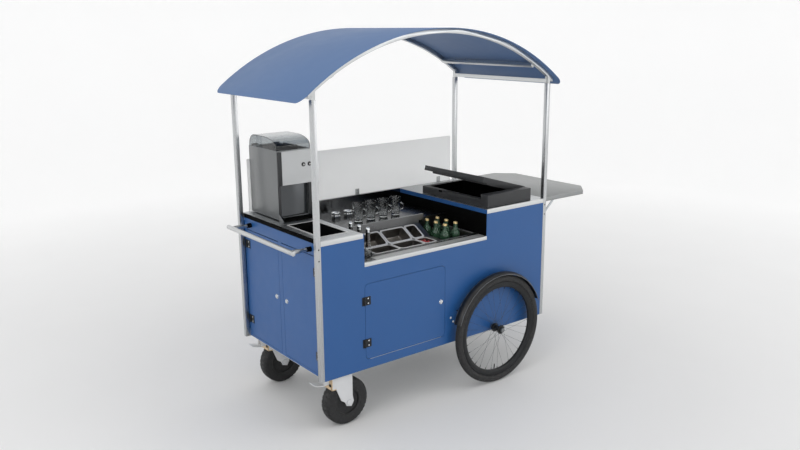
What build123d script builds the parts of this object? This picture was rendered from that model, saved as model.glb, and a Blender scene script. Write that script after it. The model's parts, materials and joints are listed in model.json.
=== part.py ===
from build123d import *
import math
import os

# Cocktail pushcart. Millimetres, +Z up, +X towards the wheel end, -Y towards the person serving.
# The origin is on the floor under the middle of the whole cart.

# Carcass
BODY_LENGTH = 1630.0
BODY_WIDTH = 838.0
BASE_Z = 305.0
COUNTER_Z = 1042.0
POST_SIDE = 25.0
POST_TOP_Z = 1728.0
TUBE_WALL = 2.0
RAIL_HEIGHT = 40.0
PANEL_THICK = 3.0
SHEET = 2.0
FACE_INSET = 1.5
END_INSET = 29.0
END_PANEL_LIFT = 5.0
END_SILL = 12.0
FIT_GAP = 0.3
RUNNING_GAP = 0.05

# Front cut-out for the sunken work area
STEP_LEFT = 0.1742 * BODY_LENGTH
STEP_SETBACK = 6.0
LEFT_COUNTER_END = STEP_LEFT - STEP_SETBACK
STEP_RIGHT = 0.6994 * BODY_LENGTH
LEDGE_DROP = 156.0
LEDGE_Z = COUNTER_Z - LEDGE_DROP
GLASS_SHELF_DROP = 80.0
GLASS_SHELF_Z = COUNTER_Z - GLASS_SHELF_DROP
SHELF_FOLD = 15.0
TRIM_HEIGHT = 24.0
LOW_TRIM_HEIGHT = 20.0
TRIM_RETURN = 14.0
BAND_HEIGHT = 22.0
EDGE_HEIGHT = 24.0

# Waste bin in the left counter
BIN_LEFT = 0.0479 * BODY_LENGTH
BIN_RIGHT = 0.1448 * BODY_LENGTH
BIN_FRONT = 86.0
BIN_BACK = 400.0
BIN_DEPTH = 240.0
BIN_FLANGE = 10.0
BIN_WALL = 3.0

# Garnish station and bottle well
PAN_START = 0.2595 * BODY_LENGTH
PAN_PITCH = 0.1055 * BODY_LENGTH
NARROW_PAN_PITCH = PAN_PITCH / 2
PAN_DEPTH = 65.0
PAN_WALL = 1.5
PAN_FLANGE = 5.0
FLAT_ROW_LENGTH = 116.0
FLAT_ROW_BACK = 206.0
FLAT_ROW_FRONT = FLAT_ROW_BACK - FLAT_ROW_LENGTH
SLOPE_DEG = 30.0
SLOPE_LENGTH = 120.0
STATION_RAIL_HEIGHT = 48.0
STATION_RAIL_WIDTH = 13.0
STATION_MARGIN = 12.0
WELL_LEFT = 0.546 * BODY_LENGTH
WELL_RIGHT = 0.6902 * BODY_LENGTH
WELL_FRONT = 100.0
WELL_BACK = 362.0
BOTTLE_REACH = 0.5675 * BODY_LENGTH

# Bar goods
BOTTLE_RADIUS = 27.0
BOTTLE_NECK_RADIUS = 12.5
BOTTLE_HEIGHT = 222.0
CAP_RADIUS = 14.5
CAP_HEIGHT = 14.0
BOTTLE_PITCH = 80.0
BOTTLE_END_MARGIN = 69.0
BOTTLE_FRONT_MARGIN = 58.0
BOTTLE_START = (WELL_LEFT + BOTTLE_END_MARGIN, WELL_FRONT + BOTTLE_FRONT_MARGIN)
MUG_RADIUS = 35.0
MUG_FOOT_RADIUS = 25.0
MUG_HEIGHT = 108.0
MUG_WALL = 3.0
MUG_BASE = 10.0
MUG_GAP = 20.0
MUG_PITCH = 2 * MUG_RADIUS + MUG_GAP
MUG_MARGIN = 320.0
MUG_SETBACK = 515.0
MUG_START = (STEP_LEFT + MUG_MARGIN, MUG_SETBACK)
MUG_TURN_DEG = -38.0
MUG_HANDLE_RADIUS = 20.0
MUG_HANDLE_THICK = 4.0
CUP_RADIUS = 27.0
CUP_HEIGHT = 30.0
CUP_PITCH = 87.0
CUP_MARGIN = 271.0
CUP_SETBACK = 676.0
CUP_START = (STEP_LEFT + CUP_MARGIN, CUP_SETBACK)
CRUET_RADIUS = 20.0
CRUET_NECK_RADIUS = 12.0
CRUET_HEIGHT = 134.0
CRUET_TOP_RADIUS = 12.5
CRUET_TOP_HEIGHT = 18.0
CRUET_PITCH = 80.0
CRUET_GAP = 2.0
CRUET_SETBACK = 116.0
CRUET_START = (PAN_START - STATION_MARGIN - CRUET_RADIUS - CRUET_GAP, CRUET_SETBACK)

# Doors, hinges and cam locks
DOOR_GAP = 2.0
FRONT_DOOR_LEFT = STEP_LEFT
FRONT_DOOR_RIGHT = 0.5067 * BODY_LENGTH
FRONT_DOOR_RISE = 53.0
FRONT_DOOR_BOTTOM = BASE_Z + FRONT_DOOR_RISE
FRONT_DOOR_DROP = 114.0
FRONT_DOOR_TOP = LEDGE_Z - FRONT_DOOR_DROP
DOOR_CORNER = 25.0
FRONT_HINGE_MARGIN = 91.0
FRONT_HINGE_HEIGHTS = (FRONT_DOOR_BOTTOM + FRONT_HINGE_MARGIN, FRONT_DOOR_TOP - FRONT_HINGE_MARGIN)
FRONT_LOCK_INSET = 27.0
FRONT_LOCK = (FRONT_DOOR_RIGHT - FRONT_LOCK_INSET, (FRONT_DOOR_BOTTOM + FRONT_DOOR_TOP) / 2)
END_DOOR_DROP = 90.5
END_DOOR_TOP = COUNTER_Z - END_DOOR_DROP
END_TOP_PANEL_GAP = 4.0
MULLION_WIDTH = 36.0
END_HINGE_INSET = 43.0
END_HINGE_RISE = 115.0
END_HINGE_DROP = 82.0
END_HINGE_HEIGHTS = (BASE_Z + END_HINGE_RISE, END_DOOR_TOP - END_HINGE_DROP)
END_LOCK_DROP = 313.0
END_LOCK_Z = END_DOOR_TOP - END_LOCK_DROP
END_LOCK_INSET = 33.0
HINGE_HEIGHT = 46.0
HINGE_LEAF = 40.0
HINGE_FIXED_LEAF = 14.0
LEAF_THICK = 2.0
KNUCKLE_RADIUS = 4.0
PIN_RADIUS = 2.0
HINGE_OFFSET = 6.0
LOCK_HEAD_RADIUS = 10.0
LOCK_HEAD_PROUD = 4.0
LOCK_BARREL_RADIUS = 8.0
LOCK_TONGUE_WIDTH = 14.0
LOCK_TONGUE_THICK = 3.0
FRONT_TONGUE_LENGTH = 42.0
END_TONGUE_LENGTH = 49.0
LOCK_SLOT = 2.0
TONGUE_CLEARANCE = 2.0

# Push bar
HANDLE_REACH = 85.0
HANDLE_DROP = 56.0
HANDLE_Z = COUNTER_Z - HANDLE_DROP
HANDLE_RADIUS = 12.5
HANDLE_END_INSET = 42.0
ARM_INSET = 102.0
ARM_RADIUS = 9.0
BUSH_RADIUS = 13.0
BUSH_LENGTH = 25.0

# Bicycle wheels and mudguards
WHEEL_RADIUS = 326.5
WHEEL_X = 0.7337 * BODY_LENGTH
WHEEL_STANDOFF = 49.0
TYRE_SECTION = 22.0
TYRE_SEAT_DEPTH = 40.5
RIM_DEPTH = 34.0
RIM_SEAT_RADIUS = WHEEL_RADIUS - TYRE_SEAT_DEPTH
RIM_INNER_RADIUS = RIM_SEAT_RADIUS - RIM_DEPTH
RIM_WIDTH = 28.0
HUB_WIDTH = 62.0
HUB_RADIUS = 15.0
HUB_FLANGE_RADIUS = 26.0
HUB_FLANGE_THICK = 4.0
SPOKE_HOLE_RADIUS = 22.0
SPOKE_RADIUS = 1.1
SPOKE_COUNT = 32
SPOKE_TWIST_DEG = 52.0
AXLE_RADIUS = 7.0
AXLE_NUT_RADIUS = 13.0
AXLE_NUT_LENGTH = 12.0
HUB_END_GAP = 0.5
GUARD_RADIUS = 343.0
GUARD_THICK = 2.5
GUARD_WIDTH = 60.0
GUARD_START_DEG = 20.0
GUARD_END_DEG = 163.0
GUARD_STAY_RADIUS = 3.0
GUARD_STAY_ANGLES = (28.0, 90.0, 150.0)

# Swivel casters
CASTER_X = 137.0
CASTER_INSET = 80.0
CASTER_TRAIL = 55.0
CASTER_WHEEL_RADIUS = 130.0
CASTER_WHEEL_WIDTH = 70.0
CASTER_TYRE_ROUND = 18.0
CASTER_DISH_RADIUS = 68.0
CASTER_BOSS_RADIUS = 26.0
CASTER_PLATE = (150.0, 110.0, 6.0)
CASTER_CROWN_THICK = 8.0
CASTER_CROWN_DROP = 14.0
CASTER_HEAD_RADIUS = 38.0
KING_PIN_RADIUS = 12.5
FORK_THICK = 5.0
FORK_FRONT = 50.0
FORK_BACK = 79.0
FORK_CHEEK_DEPTH = 54.0
FORK_CHEEK_RUN = 28.0
FORK_FOOT_RADIUS = 30.0
FORK_SIDE_GAP = 4.0
CASTER_AXLE_RADIUS = 8.0
CASTER_BOLT_RADIUS = 13.0
CASTER_BOLT_LENGTH = 6.0
PEDAL_WIDTH = 58.0
PEDAL_LENGTH = 62.0
PEDAL_THICK = 4.0
PEDAL_DROP = 26.0
PEDAL_KICK = 14.0
PEDAL_PIVOT_REACH = 78.0
PEDAL_PIN_RADIUS = 2.0
PEDAL_EYE_RADIUS = 4.0
PEDAL_TREAD_GAP = 8.0

# Side shelf and its folding stays
SHELF_REACH = 465.0
SHELF_INSET = 18.0
SHELF_DEPTH = 24.0
SHELF_CHAMFER = 106.0
SHELF_SKIN = 1.5
SHELF_GAP = 2.0
SHELF_HINGE_OUT = 6.0
SHELF_HINGE_DROP = 5.0
SHELF_KNUCKLE_LENGTH = 60.0
SHELF_HINGE_SPACING = 440.0
STAY_REACH = 240.0
STAY_OFFSET = 8.0
STAY_WIDTH = 14.0
STAY_THICK = 4.0
STAY_SPACING = 560.0
STAY_SIDE_GAP = 0.6
STAY_PIN_RADIUS = 4.0
STAY_LUG_THICK = 6.0

# Ice box
BOX_STEP_GAP = 17.0
BOX_LEFT = STEP_RIGHT + BOX_STEP_GAP
BOX_RIGHT = 0.9252 * BODY_LENGTH
BOX_FRONT = 14.0
BOX_BACK = 602.0
BOX_RIM_HEIGHT = 47.0
BOX_RIM_Z = COUNTER_Z + BOX_RIM_HEIGHT
BOX_FRONT_WALL = 60.0
BOX_WALL = 32.0
BOX_TUB_DEPTH = 180.0
BOX_TUB_INSET = 12.0
LID_THICK = 30.0
LID_PLUG_DEPTH = 10.0
LID_PLUG_INSET = 6.0
LID_OPEN_DEG = 16.0
LID_GAP = 1.0
LID_KNUCKLE_LENGTH = 70.0

# Ice crusher
CRUSHER_LEFT = 0.0503 * BODY_LENGTH
CRUSHER_RIGHT = 0.1779 * BODY_LENGTH
CRUSHER_BACK_GAP = 22.0
CRUSHER_DEPTH = 311.0
CRUSHER_BACK = BODY_WIDTH - CRUSHER_BACK_GAP
CRUSHER_FRONT = CRUSHER_BACK - CRUSHER_DEPTH
CRUSHER_FOOT = 6.0
CRUSHER_FOOT_RADIUS = 11.0
CRUSHER_HEIGHT = 380.0
CRUSHER_TOP_Z = COUNTER_Z + CRUSHER_HEIGHT
CRUSHER_WALL = 9.0
VENT_RADIUS = 20.0
BAY_FLOOR_HEIGHT = 10.0
BAY_HEIGHT = 184.0
BAY_BOTTOM_Z = COUNTER_Z + BAY_FLOOR_HEIGHT
BAY_TOP_Z = BAY_BOTTOM_Z + BAY_HEIGHT
BAY_DEPTH = 190.0
BAY_SIDE = 16.0
HOPPER_DEPTH = 122.0
HOPPER_FLOOR_Z = CRUSHER_TOP_Z - HOPPER_DEPTH
COVER_THICK = 8.0
COVER_SIDE = 18.0
COVER_TOP_MARGIN = 5.0
BUTTON_RADIUS = 8.5
BUTTON_PROUD = 5.0
BUTTON_TRAVEL = 2.5
BUTTON_POCKET = 6.0
BUTTON_END_GAP = 0.5
BUTTON_DROP = 84.0
BUTTON_Z = CRUSHER_TOP_Z - BUTTON_DROP
BUTTON_INSETS = (12.0, 50.0)
CLEAR_LID_RISE = 78.0
CLEAR_LID_WALL = 3.0
CRUSHER_HINGE_LENGTH = 36.0
CLEAR_LID_BACK_ROUND = 72.0
CLEAR_LID_CREST = 170.0
CLEAR_LID_FRONT_RISE = 8.0
DRUM_RADIUS = 42.0
DRUM_CORE_RADIUS = 30.0
DRUM_INSET = 54.0
DRUM_DROP = 26.0
DRUM_LENGTH = 150.0
DRUM_BLADES = 6
DRUM_BLADE_THICK = 6.0
DRUM_SHAFT_RADIUS = 9.0
DRUM_SOCKET = 5.0
DRAWER_SETBACK = 18.0
DRAWER_HEIGHT = 150.0
DRAWER_LIP_HEIGHT = 12.0
DRAWER_REACH = 8.0
DRAWER_WALL = 2.0
DRAWER_END_GAP = 2.0

# Backboard
BOARD_LEFT = 72.0
BOARD_END_GAP = 50.0
BOARD_RIGHT = BODY_LENGTH - BOARD_END_GAP
BOARD_HEIGHT = 300.0
BOARD_TOP_Z = COUNTER_Z + BOARD_HEIGHT
BOARD_THICK = 6.0
BOARD_INSET = 5.0
BRACKET_WIDTH = 28.0
BRACKET_HEIGHT = 36.0
BRACKET_THICK = 2.5
BRACKET_FOOT = 9.0
BRACKET_SPACING = 660.0

# Canopy
CANOPY_APEX_Z = 2050.0
CANOPY_RADIUS = 1385.0
CANOPY_OVERHANG = 80.0
CANOPY_SIDE_OVERHANG = 30.0
CANOPY_CORNER = 50.0
CANOPY_THICK = 3.0
RIB_DEPTH = 24.0
RIB_WIDTH = 22.0
RIB_END_MARGIN = 62.0
LEG_PLUG = 80.0
CROSSBAR_SIDE = 22.0
CROSSBAR_REACH = 698.0
CROSSBAR_DROP = 24.0
TIE_RISE = 3.0

# Places worked out from the sizes above
REACH_LEFT = HANDLE_REACH + HANDLE_RADIUS
LEFT = REACH_LEFT - (BODY_LENGTH + REACH_LEFT + SHELF_REACH) / 2
RIGHT = LEFT + BODY_LENGTH
MIDDLE = (LEFT + RIGHT) / 2
FRONT = -BODY_WIDTH / 2
BACK = BODY_WIDTH / 2
FACE = FRONT + FACE_INSET
FACE_BACK = FACE + PANEL_THICK
REAR_FACE = BACK - FACE_INSET - PANEL_THICK
END_FACE = LEFT + END_INSET
INNER_FRONT = FRONT + POST_SIDE
INNER_BACK = BACK - POST_SIDE
INNER_LEFT = LEFT + END_INSET + PANEL_THICK
INNER_RIGHT = RIGHT - END_INSET - PANEL_THICK
FLOOR_Z = BASE_Z + RAIL_HEIGHT
COUNTER_UNDER = COUNTER_Z - SHEET
AXLE_Z = WHEEL_RADIUS
WHEEL_PLANE = BODY_WIDTH / 2 + WHEEL_STANDOFF
HINGE_STAND = KNUCKLE_RADIUS + FIT_GAP


def block(low, high):
    """A box between two corners."""
    size = [b - a for a, b in zip(low, high)]
    centre = [(a + b) / 2 for a, b in zip(low, high)]
    return Pos(*centre) * Box(*size)


def rod(start, end, radius):
    """A round bar between two points."""
    span = Vector(*end) - Vector(*start)
    place = Plane(origin=start, z_dir=span)
    return place * Cylinder(radius, span.length, align=(Align.CENTER, Align.CENTER, Align.MIN))


def slab_yz(points, x_low, x_high):
    """An outline in Y and Z, drawn out along X."""
    place = Plane(origin=(x_low, 0, 0), x_dir=(0, 1, 0), z_dir=(1, 0, 0))
    return extrude(place * make_face(Polyline(*points, close=True)), x_high - x_low)


def slab_xz(points, y_low, y_high):
    """An outline in X and Z, drawn out along Y."""
    place = Plane(origin=(0, y_high, 0), x_dir=(1, 0, 0), z_dir=(0, -1, 0))
    return extrude(place * make_face(Polyline(*points, close=True)), y_high - y_low)


def slab_xy(points, z_low, z_high):
    """An outline in X and Y, drawn out along Z."""
    place = Plane(origin=(0, 0, z_low))
    return extrude(place * make_face(Polyline(*points, close=True)), z_high - z_low)


def turned(points):
    """A solid of revolution about Z from an outline of radius and height."""
    return revolve(Plane.XZ * make_face(Polyline(*points, close=True)), Axis.Z)


def open_box(low, high, wall):
    """A box with an open top."""
    inner_low = [low[0] + wall, low[1] + wall, low[2] + wall]
    inner_high = [high[0] - wall, high[1] - wall, high[2] + wall]
    return block(low, high) - block(inner_low, inner_high)


def group(shapes):
    """Separate solids kept together in one node."""
    return Compound([solid for shape in shapes for solid in shape.solids()])


def corner_posts():
    """Four square tubes, open at the top for the canopy legs."""
    posts = []
    for x in (LEFT, RIGHT - POST_SIDE):
        for y in (FRONT, BACK - POST_SIDE):
            outer = block((x, y, BASE_Z), (x + POST_SIDE, y + POST_SIDE, POST_TOP_Z))
            bore_low = (x + TUBE_WALL, y + TUBE_WALL, BASE_Z - TUBE_WALL)
            bore_high = (x + POST_SIDE - TUBE_WALL, y + POST_SIDE - TUBE_WALL, POST_TOP_Z + TUBE_WALL)
            posts.append(outer - block(bore_low, bore_high))
    return group(posts)


def axle_hole():
    """Hole for the axle through both long rails and both panels."""
    x = LEFT + WHEEL_X
    return rod((x, FRONT, AXLE_Z), (x, BACK, AXLE_Z), AXLE_RADIUS + FIT_GAP)


def frame_rails():
    """Base rails, caster bolsters and top rails that tie the posts together."""
    rail_depth = INNER_FRONT - FACE_BACK
    long_low = LEFT + POST_SIDE
    long_high = RIGHT - POST_SIDE
    front = block((long_low, FACE_BACK, BASE_Z), (long_high, INNER_FRONT, FLOOR_Z)) - axle_hole()
    back = block((long_low, INNER_BACK, BASE_Z), (long_high, REAR_FACE, FLOOR_Z)) - axle_hole()
    rails = [front, back]
    for x in (INNER_LEFT, INNER_RIGHT - rail_depth):
        rails.append(block((x, INNER_FRONT, BASE_Z), (x + rail_depth, INNER_BACK, FLOOR_Z)))
        top_low = COUNTER_UNDER - RAIL_HEIGHT
        rails.append(block((x, INNER_FRONT, top_low), (x + rail_depth, INNER_BACK, COUNTER_UNDER)))
    for side in (-1, 1):
        x = LEFT + CASTER_X + side * CASTER_PLATE[0] / 3
        low = (x - rail_depth / 2, INNER_FRONT, BASE_Z)
        rails.append(block(low, (x + rail_depth / 2, INNER_BACK, FLOOR_Z)))
    low = (long_low, INNER_BACK, COUNTER_UNDER - RAIL_HEIGHT)
    rails.append(block(low, (long_high, REAR_FACE, COUNTER_UNDER)))
    shelf_rail_low = (INNER_RIGHT, INNER_FRONT, COUNTER_UNDER - RAIL_HEIGHT)
    rails.append(block(shelf_rail_low, (RIGHT, INNER_BACK, COUNTER_UNDER)))
    return group(rails)


def cabinet_floor():
    """Sheet floor that lies on the base rails."""
    return block((INNER_LEFT, INNER_FRONT, FLOOR_Z), (INNER_RIGHT, INNER_BACK, FLOOR_Z + SHEET))


def front_door_outline(grow, y_low, y_high):
    """The front door's rounded outline, grown all round, between two depths."""
    width = FRONT_DOOR_RIGHT - FRONT_DOOR_LEFT + 2 * grow
    height = FRONT_DOOR_TOP - FRONT_DOOR_BOTTOM + 2 * grow
    centre_x = LEFT + (FRONT_DOOR_LEFT + FRONT_DOOR_RIGHT) / 2
    centre_z = (FRONT_DOOR_BOTTOM + FRONT_DOOR_TOP) / 2
    place = Plane(origin=(centre_x, y_high, centre_z), x_dir=(1, 0, 0), z_dir=(0, -1, 0))
    return extrude(place * RectangleRounded(width, height, DOOR_CORNER + grow), y_high - y_low)


def front_panel():
    """Serving side panel with its sunken middle, door opening and the right counter's edge strip."""
    low_x = LEFT + POST_SIDE
    high_x = RIGHT - POST_SIDE
    step = LEFT + STEP_RIGHT
    ledge_under = LEDGE_Z - SHEET
    outline = [
        (low_x, BASE_Z),
        (high_x, BASE_Z),
        (high_x, COUNTER_UNDER),
        (step, COUNTER_UNDER),
        (step, ledge_under),
        (LEFT + STEP_LEFT, ledge_under),
        (LEFT + STEP_LEFT, COUNTER_UNDER),
        (low_x, COUNTER_UNDER),
    ]
    panel = slab_xz(outline, FACE, FACE_BACK)
    edge_low = (step, FACE_BACK, COUNTER_UNDER - EDGE_HEIGHT)
    edge = block(edge_low, (step + SHEET, INNER_BACK, COUNTER_UNDER))
    opening = front_door_outline(DOOR_GAP, FACE - PANEL_THICK, FACE_BACK + PANEL_THICK)
    return group([panel - opening - axle_hole(), edge])


def back_panel():
    """Plain panel on the guests' side."""
    low = (LEFT + POST_SIDE, REAR_FACE, BASE_Z)
    panel = block(low, (RIGHT - POST_SIDE, REAR_FACE + PANEL_THICK, COUNTER_UNDER))
    return panel - axle_hole()


def left_end_panel():
    """Fixed frame of the end doors: top strip, sill, the mullion between them and the hinge jambs."""
    top_low = END_DOOR_TOP + END_TOP_PANEL_GAP
    top_high = COUNTER_UNDER - BAND_HEIGHT
    bottom = BASE_Z + END_PANEL_LIFT
    panel = block((END_FACE, INNER_FRONT, top_low), (INNER_LEFT, INNER_BACK, top_high))
    half = MULLION_WIDTH / 2
    jamb = BODY_WIDTH / 2 - END_HINGE_INSET
    for low, high in ((-half, half), (INNER_FRONT, -jamb), (jamb, INNER_BACK)):
        panel = panel + block((END_FACE, low, bottom), (INNER_LEFT, high, top_low))
    sill = block((END_FACE, INNER_FRONT, bottom), (INNER_LEFT, INNER_BACK, bottom + END_SILL))
    return panel + sill


def end_band():
    """Black edge band under the left counter's end."""
    low = (END_FACE, INNER_FRONT, COUNTER_UNDER - BAND_HEIGHT)
    return block(low, (INNER_LEFT, INNER_BACK, COUNTER_Z))


def right_end_panel():
    """Plain end panel under the side shelf."""
    low = (INNER_RIGHT, INNER_FRONT, BASE_Z + END_PANEL_LIFT)
    high = (INNER_RIGHT + PANEL_THICK, INNER_BACK, COUNTER_UNDER - RAIL_HEIGHT)
    return block(low, high)


def left_counter():
    """Steel top at the push end, cut out for the bin."""
    end = LEFT + LEFT_COUNTER_END
    top = block((INNER_LEFT, INNER_FRONT, COUNTER_UNDER), (end, INNER_BACK, COUNTER_Z))
    front_lip = block((LEFT + POST_SIDE, FACE, COUNTER_UNDER), (end, INNER_FRONT, COUNTER_Z))
    back_lip_low = (LEFT + POST_SIDE, INNER_BACK, COUNTER_UNDER)
    back_lip = block(back_lip_low, (end, REAR_FACE + PANEL_THICK, COUNTER_Z))
    hole_low = (LEFT + BIN_LEFT, FRONT + BIN_FRONT, COUNTER_UNDER - SHEET)
    hole = block(hole_low, (LEFT + BIN_RIGHT, FRONT + BIN_BACK, COUNTER_Z + SHEET))
    return top + front_lip + back_lip - hole


def waste_bin():
    """Black bin that hangs under the counter from its flange."""
    low = (LEFT + BIN_LEFT, FRONT + BIN_FRONT, COUNTER_UNDER - BIN_DEPTH)
    high = (LEFT + BIN_RIGHT, FRONT + BIN_BACK, COUNTER_UNDER)
    outer_low = [low[0] - BIN_WALL, low[1] - BIN_WALL, low[2] - BIN_WALL]
    outer_high = [high[0] + BIN_WALL, high[1] + BIN_WALL, high[2]]
    shell = block(outer_low, outer_high)
    flange_low = [low[0] - BIN_FLANGE, low[1] - BIN_FLANGE, high[2] - BIN_WALL]
    flange_high = [high[0] + BIN_FLANGE, high[1] + BIN_FLANGE, high[2]]
    return shell + block(flange_low, flange_high) - block(low, (high[0], high[1], high[2] + BIN_WALL))


def station_points():
    """Key points of the garnish station's bent profile, as offsets in Y and heights."""
    top = LEDGE_Z + SHEET
    run = SLOPE_LENGTH * math.cos(math.radians(SLOPE_DEG))
    rise = SLOPE_LENGTH * math.sin(math.radians(SLOPE_DEG))
    slope_back = FLAT_ROW_BACK + run
    return top, slope_back, top + rise


def shelf_front():
    """Front edge of the glass shelf, under the back plate of the garnish station's rail."""
    return FRONT + station_points()[1] + STATION_RAIL_WIDTH - SHEET


def work_well():
    """Folded steel lining of the sunken area: back wall, glass shelf, left wall and front ledge."""
    left = LEFT + LEFT_COUNTER_END
    right = LEFT + STEP_RIGHT
    front = shelf_front()
    well_edge = FRONT + WELL_BACK
    shelf_under = GLASS_SHELF_Z - SHEET
    ledge_under = LEDGE_Z - SHEET
    wall_y = INNER_BACK - SHEET
    shelf_outline_points = [
        (left, front),
        (LEFT + BOTTLE_REACH, front),
        (LEFT + BOTTLE_REACH, well_edge),
        (right, well_edge),
        (right, INNER_BACK),
        (left, INNER_BACK),
    ]
    shelf = slab_xy(shelf_outline_points, shelf_under, GLASS_SHELF_Z)
    fold_low = (left, front, GLASS_SHELF_Z - SHELF_FOLD)
    fold = block(fold_low, (LEFT + BOTTLE_REACH, front + SHEET, GLASS_SHELF_Z))
    back_wall = block((left, wall_y, shelf_under), (right, INNER_BACK, COUNTER_Z))
    back_cap = block((left, wall_y, COUNTER_UNDER), (right, REAR_FACE + PANEL_THICK, COUNTER_Z))
    left_wall_points = [
        (FACE_BACK, ledge_under),
        (front, ledge_under),
        (front, shelf_under),
        (INNER_BACK, shelf_under),
        (INNER_BACK, COUNTER_Z),
        (FACE_BACK, COUNTER_Z),
    ]
    left_wall = slab_yz(left_wall_points, left, left + SHEET)
    ledge = block((left, FACE_BACK, ledge_under), (right, front, LEDGE_Z))
    ledge_lip = block((LEFT + STEP_LEFT, FACE, ledge_under), (right, FACE_BACK, LEDGE_Z))
    cut_low = (LEFT + PAN_START, FRONT + WELL_FRONT, ledge_under - SHEET)
    cut = block(cut_low, (LEFT + WELL_RIGHT, front + SHEET, LEDGE_Z + SHEET))
    return (ledge + ledge_lip - cut) + left_wall + shelf + fold + back_wall + back_cap


def black_trim():
    """Black pieces of the carcass: the end band, the handle bushes and the sunken area's right wall."""
    return group([end_band(), right_bulkhead()] + handle_bushes())


def right_bulkhead():
    """Black side wall of the sunken area under the right counter's edge strip."""
    low = (LEFT + STEP_RIGHT, FACE_BACK, LEDGE_Z - SHEET)
    high = (LEFT + STEP_RIGHT + SHEET, INNER_BACK, COUNTER_UNDER - EDGE_HEIGHT)
    return block(low, high)


def right_counter():
    """Steel top at the wheel end, cut out for the ice box."""
    top_low = (LEFT + STEP_RIGHT, FACE, COUNTER_UNDER)
    top = block(top_low, (RIGHT - POST_SIDE, REAR_FACE + PANEL_THICK, COUNTER_Z))
    end = block((RIGHT - POST_SIDE, INNER_FRONT, COUNTER_UNDER), (RIGHT, INNER_BACK, COUNTER_Z))
    inset = BOX_TUB_INSET - FIT_GAP
    hole_low = (LEFT + BOX_LEFT + inset, FRONT + BOX_FRONT + inset, COUNTER_UNDER - SHEET)
    hole_high = (LEFT + BOX_RIGHT - inset, FRONT + BOX_BACK - inset, COUNTER_Z + SHEET)
    return top + end - block(hole_low, hole_high)


def counter_trims():
    """Aluminium angles along the front edges of the counters and the ledge."""
    trims = []
    runs = (
        (LEFT + POST_SIDE, LEFT + LEFT_COUNTER_END, COUNTER_Z, TRIM_HEIGHT),
        (LEFT + STEP_LEFT, LEFT + STEP_RIGHT, LEDGE_Z, LOW_TRIM_HEIGHT),
        (LEFT + STEP_RIGHT, RIGHT - POST_SIDE, COUNTER_Z, TRIM_HEIGHT),
    )
    for x_low, x_high, top, height in runs:
        face = block((x_low, FRONT, top - height), (x_high, FACE, top))
        leg = block((x_low, FRONT, top), (x_high, FRONT + TRIM_RETURN - FACE_INSET, top + FACE_INSET))
        trims.append(face + leg)
    return group(trims)


def garnish_openings():
    """Left and right X offsets of each pan in a row."""
    edges = [PAN_START, PAN_START + PAN_PITCH, PAN_START + 2 * PAN_PITCH]
    widths = (PAN_PITCH, PAN_PITCH, NARROW_PAN_PITCH)
    return [(edge, edge + width) for edge, width in zip(edges, widths)]


def pan_rows():
    """Place of each pan row: a plane at the row's front edge on the frame's top face, and its length."""
    top = station_points()[0]
    flat = Plane(origin=(0, FRONT + FLAT_ROW_FRONT, top))
    tilt = (0, -math.sin(math.radians(SLOPE_DEG)), math.cos(math.radians(SLOPE_DEG)))
    slope = Plane(origin=(0, FRONT + FLAT_ROW_BACK, top), x_dir=(1, 0, 0), z_dir=tilt)
    return ((flat, FLAT_ROW_BACK - FLAT_ROW_FRONT), (slope, SLOPE_LENGTH))


def station_profile():
    """Bent sheet of the garnish station: flat row, slope, rail and the rail's back plate."""
    top, slope_back, slope_top = station_points()
    rail_top = slope_top + STATION_RAIL_HEIGHT
    end = slope_back + STATION_RAIL_WIDTH
    tilt = math.radians(SLOPE_DEG)
    under_bend = FLAT_ROW_BACK + SHEET * math.tan(tilt / 2)
    wall_foot = slope_top + SHEET * math.tan(tilt) - SHEET / math.cos(tilt)
    profile = [
        (FLAT_ROW_FRONT, top),
        (FLAT_ROW_BACK, top),
        (slope_back, slope_top),
        (slope_back, rail_top),
        (end, rail_top),
        (end, GLASS_SHELF_Z),
        (end - SHEET, GLASS_SHELF_Z),
        (end - SHEET, rail_top - SHEET),
        (slope_back + SHEET, rail_top - SHEET),
        (slope_back + SHEET, wall_foot),
        (under_bend, top - SHEET),
        (FLAT_ROW_FRONT, top - SHEET),
    ]
    return [(FRONT + y, z) for y, z in profile]


def station_cheek(x_low):
    """Upright plate under one end of the slope and its rail."""
    top, slope_back, slope_top = station_points()
    rail_top = slope_top + STATION_RAIL_HEIGHT
    profile = [
        (FRONT + FLAT_ROW_BACK, LEDGE_Z),
        (shelf_front(), LEDGE_Z),
        (shelf_front(), rail_top),
        (FRONT + slope_back, rail_top),
        (FRONT + slope_back, slope_top),
        (FRONT + FLAT_ROW_BACK, top),
    ]
    return slab_yz(profile, x_low, x_low + SHEET)


def bottle_well():
    """Open tub for the bottles with its rim, the riser up to the glass shelf and the rail's end."""
    top, slope_back, slope_top = station_points()
    left = LEFT + WELL_LEFT
    right = LEFT + WELL_RIGHT
    step = LEFT + STEP_RIGHT
    back = FRONT + WELL_BACK
    front = FRONT + WELL_FRONT
    tub = open_box((left, front, top - bottle_sink() - SHEET), (right, back, top), SHEET)
    front_rim = block((left, FRONT + FLAT_ROW_FRONT, LEDGE_Z), (step, front + SHEET, top))
    side_rim = block((right - SHEET, front, LEDGE_Z), (step, back, top))
    riser = block((LEFT + BOTTLE_REACH, back - SHEET, LEDGE_Z), (step, back, GLASS_SHELF_Z))
    rail_low = (left, FRONT + slope_back, GLASS_SHELF_Z)
    rail_high = (LEFT + BOTTLE_REACH, shelf_front() + SHEET, slope_top + STATION_RAIL_HEIGHT)
    return tub + front_rim + side_rim + riser + block(rail_low, rail_high)


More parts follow.
